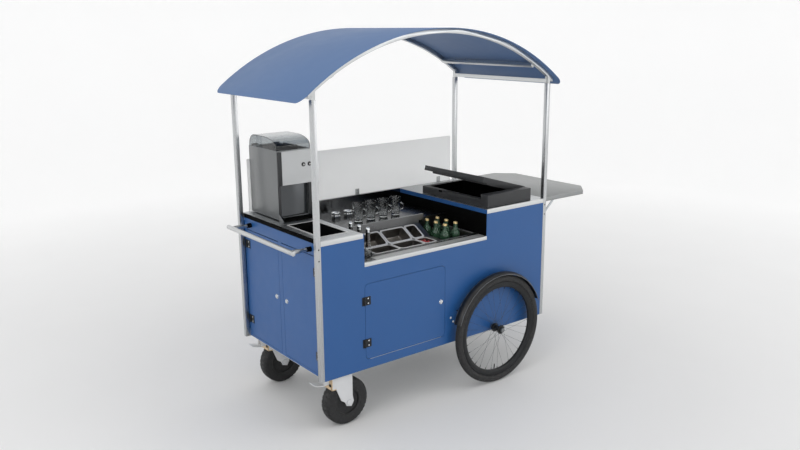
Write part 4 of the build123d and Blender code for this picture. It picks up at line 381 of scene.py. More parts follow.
# Black oxide on steel: charcoal, oiled and uneven.
BLACK_OXIDE = Finish(
    "black_oxide_steel", "dark_hardware", "#3a3b3d", "#2a2b2c", (0.32, 0.5), 0.8,
    tone_mm=9.0, gloss_mm=7.0, relief_mm=1.2, depth_mm=0.02)
# Turned axle nuts: plain grey steel.
AXLE_STEEL = Finish(
    "turned_steel_axle", "dark_hardware", "#8d9092", "#7a7d7f", (0.3, 0.42), 1.0,
    tone_mm=9.0, gloss_mm=7.0, relief_mm=1.2, depth_mm=0.01)
# Bright zinc plate: bluish silver with a faint crystal spangle.
ZINC_PLATE = Finish(
    "bright_zinc_plate", "zinc", "#ccd0d3", "#b3b8bc", (0.22, 0.4), 1.0,
    tone_mm=7.0, gloss_mm=10.0, pattern=Pattern.CELLS)
# Chrome plate on cast locks and screws: mirror bright with finger smudges.
CHROME = Finish(
    "chrome_plated_casting", "lock_chrome", "#e4e6e8", "#d6d9dc", (0.06, 0.2), 1.0,
    tone_mm=8.0, gloss_mm=5.0, relief_mm=4.0, depth_mm=0.01)
# Cycle tyre rubber: matte charcoal with dust in its moulded surface.
TYRE_RUBBER = Finish(
    "vulcanised_tyre_rubber", "tyre", "#202021", "#2d2d2d", (0.62, 0.85),
    tone_mm=22.0, gloss_mm=14.0, relief_mm=1.6, depth_mm=0.12)
# Solid caster rubber: black and slightly shinier than the tyres.
CASTER_RUBBER = Finish(
    "solid_black_caster_rubber", "caster_rubber", "#161617", "#202021", (0.45, 0.68),
    tone_mm=26.0, gloss_mm=18.0, relief_mm=2.0, depth_mm=0.1)
# Black anodised rim: dark with a satin turned sheen.
RIM_ALUMINIUM = Finish(
    "black_anodised_rim", "rim_black", "#2b2c2e", "#232425", (0.34, 0.5), 0.6,
    tone_mm=30.0, gloss_mm=12.0)
# Black chromed spoke wire: thin and dark against the panel, faint against the floor.
SPOKE_WIRE = Finish(
    "black_chromed_spoke_wire", "spoke_black", "#54585e", "#484c52", (0.24, 0.34), 0.7,
    tone_mm=6.0, gloss_mm=5.0)
# Off-white zinc flake on the caster forks and pedals: even, satin and slightly cool.
FORK_COAT = Finish(
    "white_zinc_flake_coat", "fork_white", "#dcdddf", "#d2d3d4", (0.34, 0.46), 0.15,
    tone_mm=55.0, gloss_mm=22.0, relief_mm=2.0)
# Yellow passivated zinc on the fork's crown: warm tan with paler patches.
CROWN_ZINC = Finish(
    "yellow_passivated_zinc", "zinc", "#dfc8a8", "#cbaf88", (0.34, 0.46), 0.3,
    tone_mm=16.0, gloss_mm=9.0, relief_mm=2.0)
# Dark moulded push buttons.
BUTTON_RESIN = Finish(
    "moulded_dark_resin", "button_dark", "#1c1c1d", "#262627", (0.3, 0.45),
    tone_mm=6.0, gloss_mm=6.0, relief_mm=1.0)
# Pale moulded button centres.
BUTTON_LENS = Finish(
    "moulded_pale_resin", "button_dark", "#d9d9d6", "#cbcbc8", (0.25, 0.4),
    tone_mm=4.0, gloss_mm=4.0, relief_mm=1.0)
# Brushed casing of the ice crusher: mid grey with lines up and down.
CASING_STEEL = Finish(
    "brushed_stainless_casing", "inner_steel", "#838586", "#7b7d7e", (0.28, 0.34), 1.0,
    tone_mm=Grain.ALONG_Z.stretch(1.2, 120.0), gloss_mm=Grain.ALONG_Z.stretch(4.0, 80.0),
    relief_mm=Grain.ALONG_Z.stretch(1.0, 60.0), depth_mm=0.015)
# Polished front of the ice drawer: dark grey, painted shade and dark reflection, mirroring the counter.
DRAWER_STEEL = Finish(
    "polished_stainless_drawer", "inner_steel", "#525456", "#4b4d4f", (0.16, 0.22), 1.0,
    tone_mm=Grain.ALONG_Z.stretch(1.2, 120.0), gloss_mm=30.0,
    relief_mm=40.0, depth_mm=0.01)
# Satin front cover of the ice crusher: pale grey, with lines across.
COVER_STEEL = Finish(
    "satin_stainless_cover", "counter_steel", "#c0c2c3", "#b5b7b8", (0.32, 0.42), 0.85,
    tone_mm=Grain.ALONG_X.stretch(1.0, 60.0), gloss_mm=90.0,
    relief_mm=Grain.ALONG_X.stretch(1.0, 30.0), depth_mm=0.01)
# Glazed cherries: deep translucent red with a syrup gloss.
CHERRY = Finish(
    "glazed_cherry_skin", "", "#b3161c", "#7d0a10", (0.12, 0.25),
    tone_mm=7.0, gloss_mm=4.0, relief_mm=3.0, depth_mm=0.1, coat=0.5)
# Dark syrup standing in the cruets.
SYRUP = Finish(
    "dark_sugar_syrup", "", "#1a0f0b", "#24150e", (0.04, 0.1),
    tone_mm=20.0, relief_mm=30.0, coat=0.2)
# Studio floor: pale matte paint.
STUDIO_PAINT = Finish(
    "pale_studio_floor_paint", "", "#e6e6e6", "#e3e3e3", (0.6, 0.75),
    tone_mm=900.0, gloss_mm=400.0, relief_mm=30.0)


def aim(at: Point, towards: Point) -> Matrix:
    """Return the place at a point whose local Z looks along a direction."""
    turn = Vector(towards).to_track_quat("Z", "Y").to_matrix().to_4x4()
    return Matrix.Translation(at) @ turn


def standing(points: Iterable[Point]) -> list[Matrix]:
    """Return upright places at some points."""
    return [Matrix.Translation(point) for point in points]


def quarter(steps: int) -> list[float]:
    """Return the angles of a quarter turn in equal steps."""
    return [math.radians(90.0 * step / steps) for step in range(steps + 1)]


def corners(node: str) -> tuple[Vector, Vector]:
    """Return a solid's lowest and highest corners in cart millimetres."""
    low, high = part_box(node)
    return TO_FRAME.inverted() @ Vector(low), TO_FRAME.inverted() @ Vector(high)


def cube(size: Sequence[float]) -> Shape:
    """Make a sharp block about the origin.

    Args:
        size: Its size along X, Y and Z.

    Returns:
        The block.
    """
    shape = bmesh.new()
    bmesh.ops.create_cube(shape, size=1.0)
    bmesh.ops.scale(shape, vec=size, verts=shape.verts)
    return shape


def level_faces(shape: Shape, way: int) -> list[bmesh.types.BMFace]:
    """Return the faces that look straight up, or straight down for a way of minus one."""
    return [face for face in shape.faces if way * face.normal.z > LEVEL]


def round_edges(shape: Shape, edges: list[bmesh.types.BMEdge], radius: float, segments: int = 2,
                clamp: bool = True) -> None:
    """Round some edges of a shape.

    Args:
        shape: The shape.
        edges: The edges.
        radius: Radius of the rounding.
        segments: Number of faces across it.
        clamp: Whether the roundings stop where they meet.
    """
    bmesh.ops.bevel(shape, geom=edges, offset=radius, offset_type="OFFSET", segments=segments, profile=0.5,
                    affect="EDGES", material=-1, clamp_overlap=clamp)


def spin_round(shape: Shape, steps: int, sweep: float = math.tau) -> None:
    """Spin an outline about the Z axis.

    Args:
        shape: The outline, which becomes the skin.
        steps: Number of steps.
        sweep: Angle that it is spun through.
    """
    bmesh.ops.spin(shape, geom=shape.verts[:] + shape.edges[:], cent=(0, 0, 0), axis=(0, 0, 1), angle=sweep,
                   steps=steps, use_merge=sweep >= math.tau)
    bmesh.ops.remove_doubles(shape, verts=shape.verts, dist=MERGE)
    bmesh.ops.recalc_face_normals(shape, faces=shape.faces)


def lathe(outline: Outline, steps: int, closed: bool = False) -> Shape:
    """Turn an outline about the Z axis.

    Args:
        outline: Radius and height of each point.
        steps: Number of steps round the axis.
        closed: Whether the last point joins the first.

    Returns:
        The turned skin.
    """
    shape = bmesh.new()
    points = [shape.verts.new((radius, 0.0, height)) for radius, height in outline]
    for pair in zip(points, points[1:] + points[:1] if closed else points[1:]):
        shape.edges.new(pair)
    spin_round(shape, steps)
    return shape


def mirrored(half: Outline, length: float = 0.0) -> list[Pair]:
    """Return an outline that runs on with its mirror image, whose heights count down from a length."""
    return [*half, *((radius, length - height) for radius, height in reversed(half))]


def draw_out(outline: Outline, start: float, reach: float) -> Shape:
    """Draw an outline out sideways, along X.

    Args:
        outline: Y and Z of each point.
        start: X of the near side.
        reach: Distance to the far side.

    Returns:
        The solid shape.
    """
    shape = bmesh.new()
    near = shape.faces.new([shape.verts.new((start, y, z)) for y, z in outline])
    grown = bmesh.ops.extrude_face_region(shape, geom=[near])["geom"]
    far = [part for part in grown if isinstance(part, bmesh.types.BMVert)]
    bmesh.ops.translate(shape, vec=(reach, 0, 0), verts=far)
    bmesh.ops.recalc_face_normals(shape, faces=shape.faces)
    return shape


def link(name: str, data: bpy.types.ID) -> bpy.types.Object:
    """Put an object into the scene.

    Args:
        name: Its name.
        data: Its mesh, light or camera.

    Returns:
        The object.
    """
    made = bpy.data.objects.new(name, data)
    bpy.context.scene.collection.objects.link(made)
    return made


def link_mesh(name: str, shape: Shape, material: bpy.types.Material) -> bpy.types.Object:
    """Put a smooth shape into the scene.

    Args:
        name: Name of its object.
        shape: The shape, which is used up.
        material: Its material.

    Returns:
        The object.
    """
    for face in shape.faces:
        face.smooth = True
    data = bpy.data.meshes.new(name)
    shape.to_mesh(data)
    shape.free()
    data.materials.append(material)
    return link(name, data)


class Form:
    """A mesh in the making, in cart millimetres.

    Attributes:
        mesh: The bmesh that takes each finished shape.
    """

    def __init__(self) -> None:
        """Start with an empty mesh."""
        self.mesh = bmesh.new()

    def join(self, shape: Shape, place: Matrix | None = None) -> "Form":
        """Set a shape down in the form.

        Args:
            shape: The shape, which is used up.
            place: Its place in the cart, where it isn't drawn there already.

        Returns:
            The form itself.
        """
        bmesh.ops.transform(shape, matrix=place or Matrix(), verts=shape.verts)
        holder = bpy.data.meshes.new("holder")
        shape.to_mesh(holder)
        shape.free()
        self.mesh.from_mesh(holder)
        bpy.data.meshes.remove(holder)
        return self

    def block(self, low: Point, high: Point, rounding: float = SHEET_ROUND) -> "Form":
        """Add a block with rounded edges.

        Args:
            low: Its lowest corner.
            high: Its highest corner.
            rounding: Radius of its edges.

        Returns:
            The form itself.
        """
        size = Vector(high) - Vector(low)
        shape = cube(size)
        bmesh.ops.translate(shape, vec=Vector(low) + size / 2, verts=shape.verts)
        round_edges(shape, shape.edges[:], rounding)
        return self.join(shape)

    def turned(self, outline: Outline, *places: Matrix, steps: int = 48, closed: bool = False) -> "Form":
        """Add shapes turned about their local Z axis.

        Args:
            outline: Radius and height of each point.
            places: The shapes' places in the cart.
            steps: Number of steps round the axis.
            closed: Whether the last point joins the first.

        Returns:
            The form itself.
        """
        for place in places:
            self.join(lathe(outline, steps, closed), place)
        return self

    def rod(self, start: Point, end: Point, radius: float, rounding: float = 0.0, sides: int = 24) -> "Form":
        """Add a round bar between two points.

        Args:
            start: Middle of one end.
            end: Middle of the other end.
            radius: Its radius.
            rounding: Rounding of its end edges.
            sides: Number of sides.

        Returns:
            The form itself.
        """
        along = Vector(end) - Vector(start)
        shape = bmesh.new()
        bmesh.ops.create_cone(shape, cap_ends=True, cap_tris=False, segments=sides, radius1=radius,
                              radius2=radius, depth=along.length)
        if rounding:
            rims = [edge for edge in shape.edges if edge.calc_face_angle() > ROD_EDGE]
            round_edges(shape, rims, rounding, 3, clamp=False)
        middle = Vector(start) + along / 2
        return self.join(shape, aim(middle[:], along[:]))

    def hoop(self, radius: float, section: float, sweep: float, place: Matrix) -> "Form":
        """Add an arc of round bar about the local Z axis.

        Args:
            radius: Radius of the bar's middle line.
            section: Radius of the bar.
            sweep: Angle of the arc in degrees.
            place: Its place in the cart; the arc is centred on local X.

        Returns:
            The form itself.
        """
        shape = bmesh.new()
        bmesh.ops.create_circle(shape, segments=12, radius=section)
        angle = math.radians(sweep)
        start = Matrix.Rotation(-angle / 2, 4, "Z") @ Matrix.Translation((radius, 0, 0))
        bmesh.ops.transform(shape, matrix=start @ UPRIGHT, verts=shape.verts)
        spin_round(shape, int(sweep / 10), angle)
        bmesh.ops.holes_fill(shape, edges=[edge for edge in shape.edges if edge.is_boundary], sides=0)
        bmesh.ops.recalc_face_normals(shape, faces=shape.faces)
        return self.join(shape, place)

    def screws(self, places: Iterable[Point], towards: Point, radius: float, height: float) -> "Form":
        """Add domed socket screws.

        Args:
            places: Middle of each head's foot.
            towards: The way that the heads look.
            radius: Radius of a head.
            height: Height of a head.

        Returns:
            The form itself.
        """
        # Shares of the radius and the height: the socket's floor, its mouth, the dome and the foot
        shares = ((0.0, 0.45), (0.42, 0.45), (0.5, 0.96), (0.74, 0.82), (1.0, 0.3), (1.0, 0.0), (0.0, 0.0))
        outline = [(out * radius, up * height) for out, up in shares]
        return self.turned(outline, *(aim(place, towards) for place in places), steps=12)

    def piece(self, name: str, body: str, finish: Finish, *nodes: str, crease: float = 35.0) -> None:
        """Turn the form into a finished piece of the cart.

        Args:
            name: Name of the piece.
            body: The body that it moves with.
            finish: Its material.
            nodes: The solids that it stands for.
            crease: Angle in degrees past which an edge stays sharp.
        """
        bmesh.ops.transform(self.mesh, matrix=TO_FRAME, verts=self.mesh.verts)
        for edge in self.mesh.edges:
            edge.smooth = not edge.is_manifold or edge.calc_face_angle() < math.radians(crease)
        made = link_mesh(name, self.mesh, finish.material())
        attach(made, body)
        if nodes:
            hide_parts(*nodes)


def rounded(node: str, name: str, finish: Finish, rounding: float = 0.5, body: str = "cart",
            inner: bool = True) -> None:
    """Replace a solid by a copy with its sharp edges rounded.

    Args:
        node: Name of the solid's node.
        name: Name of the piece.
        finish: Its material.
        rounding: Radius of its edges.
        body: The body that it moves with.
        inner: Whether its inside corners are rounded too.
    """
    shape = bmesh.new()
    shape.from_mesh(frame["nodes"][node].data)
    bmesh.ops.transform(shape, matrix=TO_FRAME.inverted(), verts=shape.verts)
    bmesh.ops.remove_doubles(shape, verts=shape.verts, dist=0.01)
    bmesh.ops.dissolve_limit(shape, angle_limit=math.radians(1.0), use_dissolve_boundaries=False,
                             verts=shape.verts[:], edges=shape.edges[:])
    sharp = [edge for edge in shape.edges if edge.is_manifold and edge.calc_face_angle() > SOLID_EDGE]
    round_edges(shape, [edge for edge in sharp if inner or edge.is_convex], rounding)
    Form().join(shape).piece(name, body, finish, node)


def dress(finish: Finish, *nodes: str) -> None:
    """Give solids that stay in view their finish.

    Args:
        finish: The material.
        nodes: Names of the solids' nodes.
    """
    for node in nodes:
        shown = frame["nodes"][node]
        shown.data.materials.clear()
        shown.data.materials.append(finish.material())
        LOG.info("dressed %s in %s", node, finish.name)


@dataclass
class Carcass:
    """Posts, panels, rails and counter edges."""

    length: float = 1630.0  # Length of the body
    width: float = 838.0  # Width of the body
    post: float = 25.0  # Width of a post's tube
    screw: Pair = (4.0, 2.2)  # Radius and height of a post screw
    screw_heights: Pair = (1004.0, 946.0)  # Heights of the post screws
    bolt: Pair = (6.5, 3.4)  # Radius and height of a bright bolt
    # The two bright bolts' places on the front panel
    bolt_places: tuple[Point, ...] = ((871.0, 1.5, 454.0), (890.0, 1.5, 427.0))
    rivet: Pair = (4.0, 1.6)  # Radius and height of a panel rivet
    margin: float = 25.0  # Distance of the rivet rows from a panel's edges
    back_row: Row = (60.0, 188.75, 9)  # X of the back panel's rivets
    end_row: Row = (69.0, 175.0, 5)  # Y of the right end panel's rivets

    def build(self) -> None:
        """Build and dress the carcass."""
        dress(BLUE_COAT, "front_panel", "back_panel", "left_end_panel", "right_end_panel")
        dress(FLOOR_SHEET, "cabinet_floor")
        dress(RAIL_ALUMINIUM, "frame_rails")
        rounded("corner_posts", "post_tubes", POST_ALUMINIUM, rounding=1.4)
        rounded("counter_trims", "counter_edges", TRIM_ALUMINIUM)
        rounded("black_trim", "black_edges", BLACK_ABS, rounding=0.6)
        self.post_screws()
        Form().screws(self.bolt_places, FRONTWARD, *self.bolt).piece("panel_bolts", "cart", FORK_COAT)
        self.panel_rivets()

    def post_screws(self) -> None:
        """Build the small dark screws on the posts."""
        form = Form()
        for x in (self.post / 2, self.length - self.post / 2):
            for y, towards in ((0.0, FRONTWARD), (self.width, BACKWARD)):
                form.screws([(x, y, z) for z in self.screw_heights], towards, *self.screw)
        form.piece("post_screws", "cart", BLACK_OXIDE)

    def panel_rivets(self) -> None:
        """Build the painted rivets round the back and right end panels."""
        form = Form()
        low, high = corners("back_panel")
        first, pitch, count = self.back_row
        for z in (low.z + self.margin, high.z - self.margin):
            places = [(first + pitch * index, high.y, z) for index in range(count)]
            form.screws(places, BACKWARD, *self.rivet)
        low, high = corners("right_end_panel")
        first, pitch, count = self.end_row
        for z in (low.z + self.margin, high.z - self.margin):
            places = [(high.x, first + pitch * index, z) for index in range(count)]
            form.screws(places, RIGHTWARD, *self.rivet)
        form.piece("panel_rivets", "cart", BLUE_COAT)


@dataclass
class Doors:
    """The front door and the pair of end doors, with hinges and cam locks."""

    hinge_x: float = 277.95  # Hinge axis of the front door
    front_hinges: Pair = (449.0, 681.0)  # Heights of the front door's hinges
    front_leaf: float = -0.5  # Y of the front door's hinge leaves
    end_hinge_y: float = 376.0  # Distance of the end doors' hinges from the middle
    end_hinges: Pair = (420.0, 869.5)  # Heights of the end doors' hinges
    end_leaf: float = 27.0  # X of the end doors' hinge leaves
    screw: Pair = (4.2, 1.8)  # Radius and height of a leaf's screw
    screw_reach: float = 24.0  # Distance of a leaf's screws from the hinge axis
    screw_spread: float = 13.0  # Half the distance between a leaf's screws
    front_lock: Point = (798.9, 1.5, 565.0)  # Place of the front lock
    end_lock: Point = (29.0, 53.0, 638.5)  # X, distance from the middle and Z of the end locks
    # Section of the ring round a lock
    bezel: Outline = ((10.5, 0.0), (10.5, 0.96), (11.0, 1.2), (12.2, 1.2), (13.0, 0.0))
    # A bright strip under the front door, a painted highlight of the light on the door's lower edge
    sill: Slab = ((310.0, 1.0, 355.6), (800.0, 4.0, 357.0), SHEET_ROUND)

    def build(self) -> None:
        """Build and dress the doors."""
        rounded("fixed_hardware", "fixed_hinges", BLACK_OXIDE, rounding=0.3)
        for door in ("front_door", *END_DOORS):
            dress(BLUE_COAT, door)
            rounded(f"{door}_leaves", f"{door}_hinges", BLACK_OXIDE, rounding=0.4, body=door)
            self.screws(door)
            rounded(f"{door}_lock", f"{door}_cam", CHROME, rounding=0.7, body=f"{door}_lock")
            self.bezel_ring(door)
        # The bright strip under the front door is a painted highlight.
        Form().block(*self.sill).piece("front_door_sill_edge", "cart", TRIM_ALUMINIUM)

    def screws(self, door: str) -> None:
        """Build the bright screws of a door's hinge leaves.

        Args:
            door: Name of the door's body.
        """
        spread = (-self.screw_spread, self.screw_spread)
        if door in END_DOORS:
            y = MIDDLE_Y + END_DOORS[door].value * (self.end_hinge_y - self.screw_reach)
            places = [(self.end_leaf, y, z + step) for z in self.end_hinges for step in spread]
            form = Form().screws(places, LEFTWARD, *self.screw)
        else:
            x = self.hinge_x + self.screw_reach
            places = [(x, self.front_leaf, z + step) for z in self.front_hinges for step in spread]
            form = Form().screws(places, FRONTWARD, *self.screw)
        form.piece(f"{door}_hinge_screws", door, CHROME)

    def bezel_ring(self, door: str) -> None:
        """Build the thin ring round a door's lock.

        Args:
            door: Name of the door's body.
        """
        place = aim(self.front_lock, FRONTWARD)
        if door in END_DOORS:
            x, out, z = self.end_lock
            place = aim((x, MIDDLE_Y + END_DOORS[door].value * out, z), LEFTWARD)
        Form().turned(self.bezel, place, steps=32, closed=True).piece(f"{door}_bezel", door, CHROME)


@dataclass
class WorkArea:
    """Counters, the sunken lining and the garnish station with its pans."""

    pan_edges: tuple[float, ...] = (422.985, 594.95, 766.92, 852.9)  # X of the pans' edges
    pan_length: float = 116.0  # Length of a pan along its row
    pan_depth: float = 65.0  # Depth of a pan
    pan_inset: float = 10.3  # Distance from a pan's edge to its opening
    pan_corner: float = 14.0  # Corner radius of a pan
    pan_floor: float = 9.0  # Rounding of a pan's floor
    pan_wall: float = 1.4  # Thickness of a pan's wall
    pan_lift: float = 0.1  # Height of a pan's lip over its row
    flange_reach: float = 9.7  # Width of a pan's flange
    flange: float = 1.2  # Thickness of a pan's flange
    flange_lift: float = 0.8  # Height of a flange over the lip
    flat_row: Pair = (90.0, 888.0)  # Y and Z of the flat row's front edge
    slope_row: Pair = (206.0, 888.0)  # Y and Z of the sloping row's front edge
    slope: float = 30.0  # Angle of the sloping row
    bin_low: Point = (78.1, 86.0, 1042.0)  # Lowest corner of the bin's opening
    bin_high: Point = (236.0, 400.0, 1042.0)  # Highest corner of the bin's opening
    bin_rim: Point = (7.0, 1.6, 0.5)  # Width, height and rounding of the frame round the bin's opening
    # X of the front ledge's two ends, and Y of its front and back edges
    ledge: tuple[float, float, float, float] = (370.0, 1139.0, 17.0, 68.0)
    ledge_top: float = 886.0  # Z of the front ledge
    well_low: Point = (890.0, 100.0, 728.0)  # Lowest corner of the bottle well
    well_high: Point = (1125.0, 362.0, 888.0)  # Highest corner of the bottle well
    well_wall: float = 2.0  # Thickness of the bottle well's walls
    # How far the rim's facing reaches inwards and outwards from the well's side
    well_rim: Pair = (4.0, 1.0)
    well_margin: float = 1.0  # Distance of the walls' facings below the well's top
    facing: float = 0.7  # Thickness of the pale skins that paint light onto the ledge, the well's rim and the well's walls
    sink: float = 0.1  # How far a facing sinks into what it lies on
    cup_places: Pair = (554.95, 641.95)  # X of the two cups
    cup_row: Pair = (676.0, 962.0)  # Y and Z of the cups' feet
    # Section of a two-tier cup
    cup: Outline = (
        (0.0, 0.0), (20.4, 0.0), (21.6, 1.0), (26.4, 10.8), (27.0, 12.2), (22.4, 14.6), (21.6, 16.0),
        (21.6, 18.0), (26.4, 23.4), (27.0, 25.0), (27.0, 29.4), (26.4, 30.0), (25.6, 29.4), (25.2, 25.0),
        (20.0, 19.4), (0.0, 19.0))

    def build(self) -> None:
        """Build and dress the work area."""
        dress(WELL_STEEL, "work_well")
        rounded("left_counter", "left_top", COUNTER_STEEL)
        rounded("right_counter", "right_top", COUNTER_STEEL)
        rounded("garnish_station", "station_frame", STATION_STEEL)
        rounded("waste_bin", "bin_liner", BLACK_ABS, rounding=1.0)
        self.bin_frame()
        self.pan_bowls()
        self.pan_flanges()
        self.ledge_facing()
        self.well_facing()
        cups = standing((x, *self.cup_row) for x in self.cup_places)
        Form().turned(self.cup, *cups).piece("spun_cups", "cart", CUP_STEEL, crease=50.0)

    def ledge_facing(self) -> None:
        """Build the pale skin of the front ledge and the bottle well's rim, a painted highlight of the light
        on their tops.
        """
        left, right, front, back = self.ledge
        low_y, z = self.well_low[1], self.ledge_top
        high_x, high_y, top = self.well_high
        inwards, outwards = self.well_rim
        form = Form().block((left, front, z - self.sink), (right, back, z + self.facing))
        form.block((high_x - inwards, low_y, top - self.sink),
                   (high_x + outwards, high_y, top + 2 * self.facing))
        form.piece("ledge_facing", "cart", LEDGE_STEEL)

    def well_facing(self) -> None:
        """Build the grey skin on the bottle well's right and back walls, lighter than the station, painted
        light that reaches into the well.
        """
        low_x, low_y, foot = self.well_low
        high_x, high_y, top = self.well_high
        wall = self.well_wall
        inner = wall + self.facing
        top -= self.well_margin
        form = Form().block((high_x - inner, low_y + inner, foot), (high_x - wall, high_y - inner, top))
        form.block((low_x + inner, high_y - inner, foot), (high_x - inner, high_y - wall, top))
        form.piece("bottle_well_facing", "cart", PAN_STEEL)

    def bin_frame(self) -> None:
        """Build the thin bright frame round the bin's opening, its pale finish a painted highlight."""
        wide, high, rounding = self.bin_rim
        x0, y0, z = self.bin_low
        x1, y1, _ = self.bin_high
        sides = (((x0 - wide, y0 - wide), (x1 + wide, y0)), ((x0 - wide, y1), (x1 + wide, y1 + wide)),
                 ((x0 - wide, y0), (x0, y1)), ((x1, y0), (x1 + wide, y1)))
        form = Form()
        for near, far in sides:
            form.block((*near, z - self.sink), (*far, z + high), rounding)
        form.piece("bin_frame", "cart", PAN_RIM)

    def pans(self) -> Iterator[tuple[Pair, Matrix]]:
        """Give each pan's opening and place, along the flat row and then the sloping row.

        Yields:
            The opening's width and length, and the place of its middle.
        """
        tilt = Matrix.Rotation(math.radians(self.slope), 4, "X")
        rows = (Matrix.Translation((0.0, *self.flat_row)), Matrix.Translation((0.0, *self.slope_row)) @ tilt)
        for row in rows:
            for left, right in zip(self.pan_edges, self.pan_edges[1:]):
                opening = (right - left - 2 * self.pan_inset, self.pan_length - 2 * self.pan_inset)
                middle = ((left + right) / 2, self.pan_length / 2, self.pan_lift)
                yield opening, row @ Matrix.Translation(middle)

    def pan_bowls(self) -> None:
        """Build the bowls of the six pans."""
        form = Form()
        for opening, place in self.pans():
            shape = self.bowl(opening)
            bmesh.ops.solidify(shape, geom=shape.faces[:], thickness=-self.pan_wall)
            form.join(shape, place)
        # The bowls' brown-grey is painted shade inside the deep pans.
        form.piece("pan_bowls", "cart", PAN_STEEL, "steel_ware", crease=50.0)

    def pan_flanges(self) -> None:
        """Build the flat flanges of the six pans, each grown outwards from its bowl's edge."""
        form = Form()
        for opening, place in self.pans():
            shape = self.bowl(opening)
            inner = shape.faces[:]
            lip = [edge for edge in shape.edges if edge.is_boundary]
            grown = bmesh.ops.extrude_edge_only(shape, edges=lip)["geom"]
            rim = [part for part in grown if isinstance(part, bmesh.types.BMVert)]
            wider = [(size + 2 * self.flange_reach) / size for size in opening]
            bmesh.ops.scale(shape, vec=(*wider, 1.0), verts=rim)
            bmesh.ops.delete(shape, geom=inner, context="FACES")
            bmesh.ops.recalc_face_normals(shape, faces=shape.faces)
            bmesh.ops.solidify(shape, geom=shape.faces[:], thickness=self.flange)
            form.join(shape, place @ Matrix.Translation((0.0, 0.0, self.flange_lift)))
        # The flanges' pale finish is a painted highlight.
        form.piece("pan_flanges", "cart", PAN_RIM, crease=30.0)

    def bowl(self, opening: Pair) -> Shape:
        """Make a pan's bowl as a thin skin with rounded corners.

        Args:
            opening: Width and length of the pan's opening.

        Returns:
            The skin, with its open top at zero height.
        """
        shape = cube((*opening, self.pan_depth))
        bmesh.ops.translate(shape, vec=(0, 0, -self.pan_depth / 2), verts=shape.verts)
        bmesh.ops.delete(shape, geom=level_faces(shape, 1), context="FACES_ONLY")
        upright = [edge for edge in shape.edges if abs(edge.verts[0].co.z - edge.verts[1].co.z) > 1]
        round_edges(shape, upright, self.pan_corner, 4, clamp=False)
        rim = {edge for face in level_faces(shape, -1) for edge in face.edges}
        round_edges(shape, list(rim), self.pan_floor, 3, clamp=False)
        bmesh.ops.recalc_face_normals(shape, faces=shape.faces)
        return shape


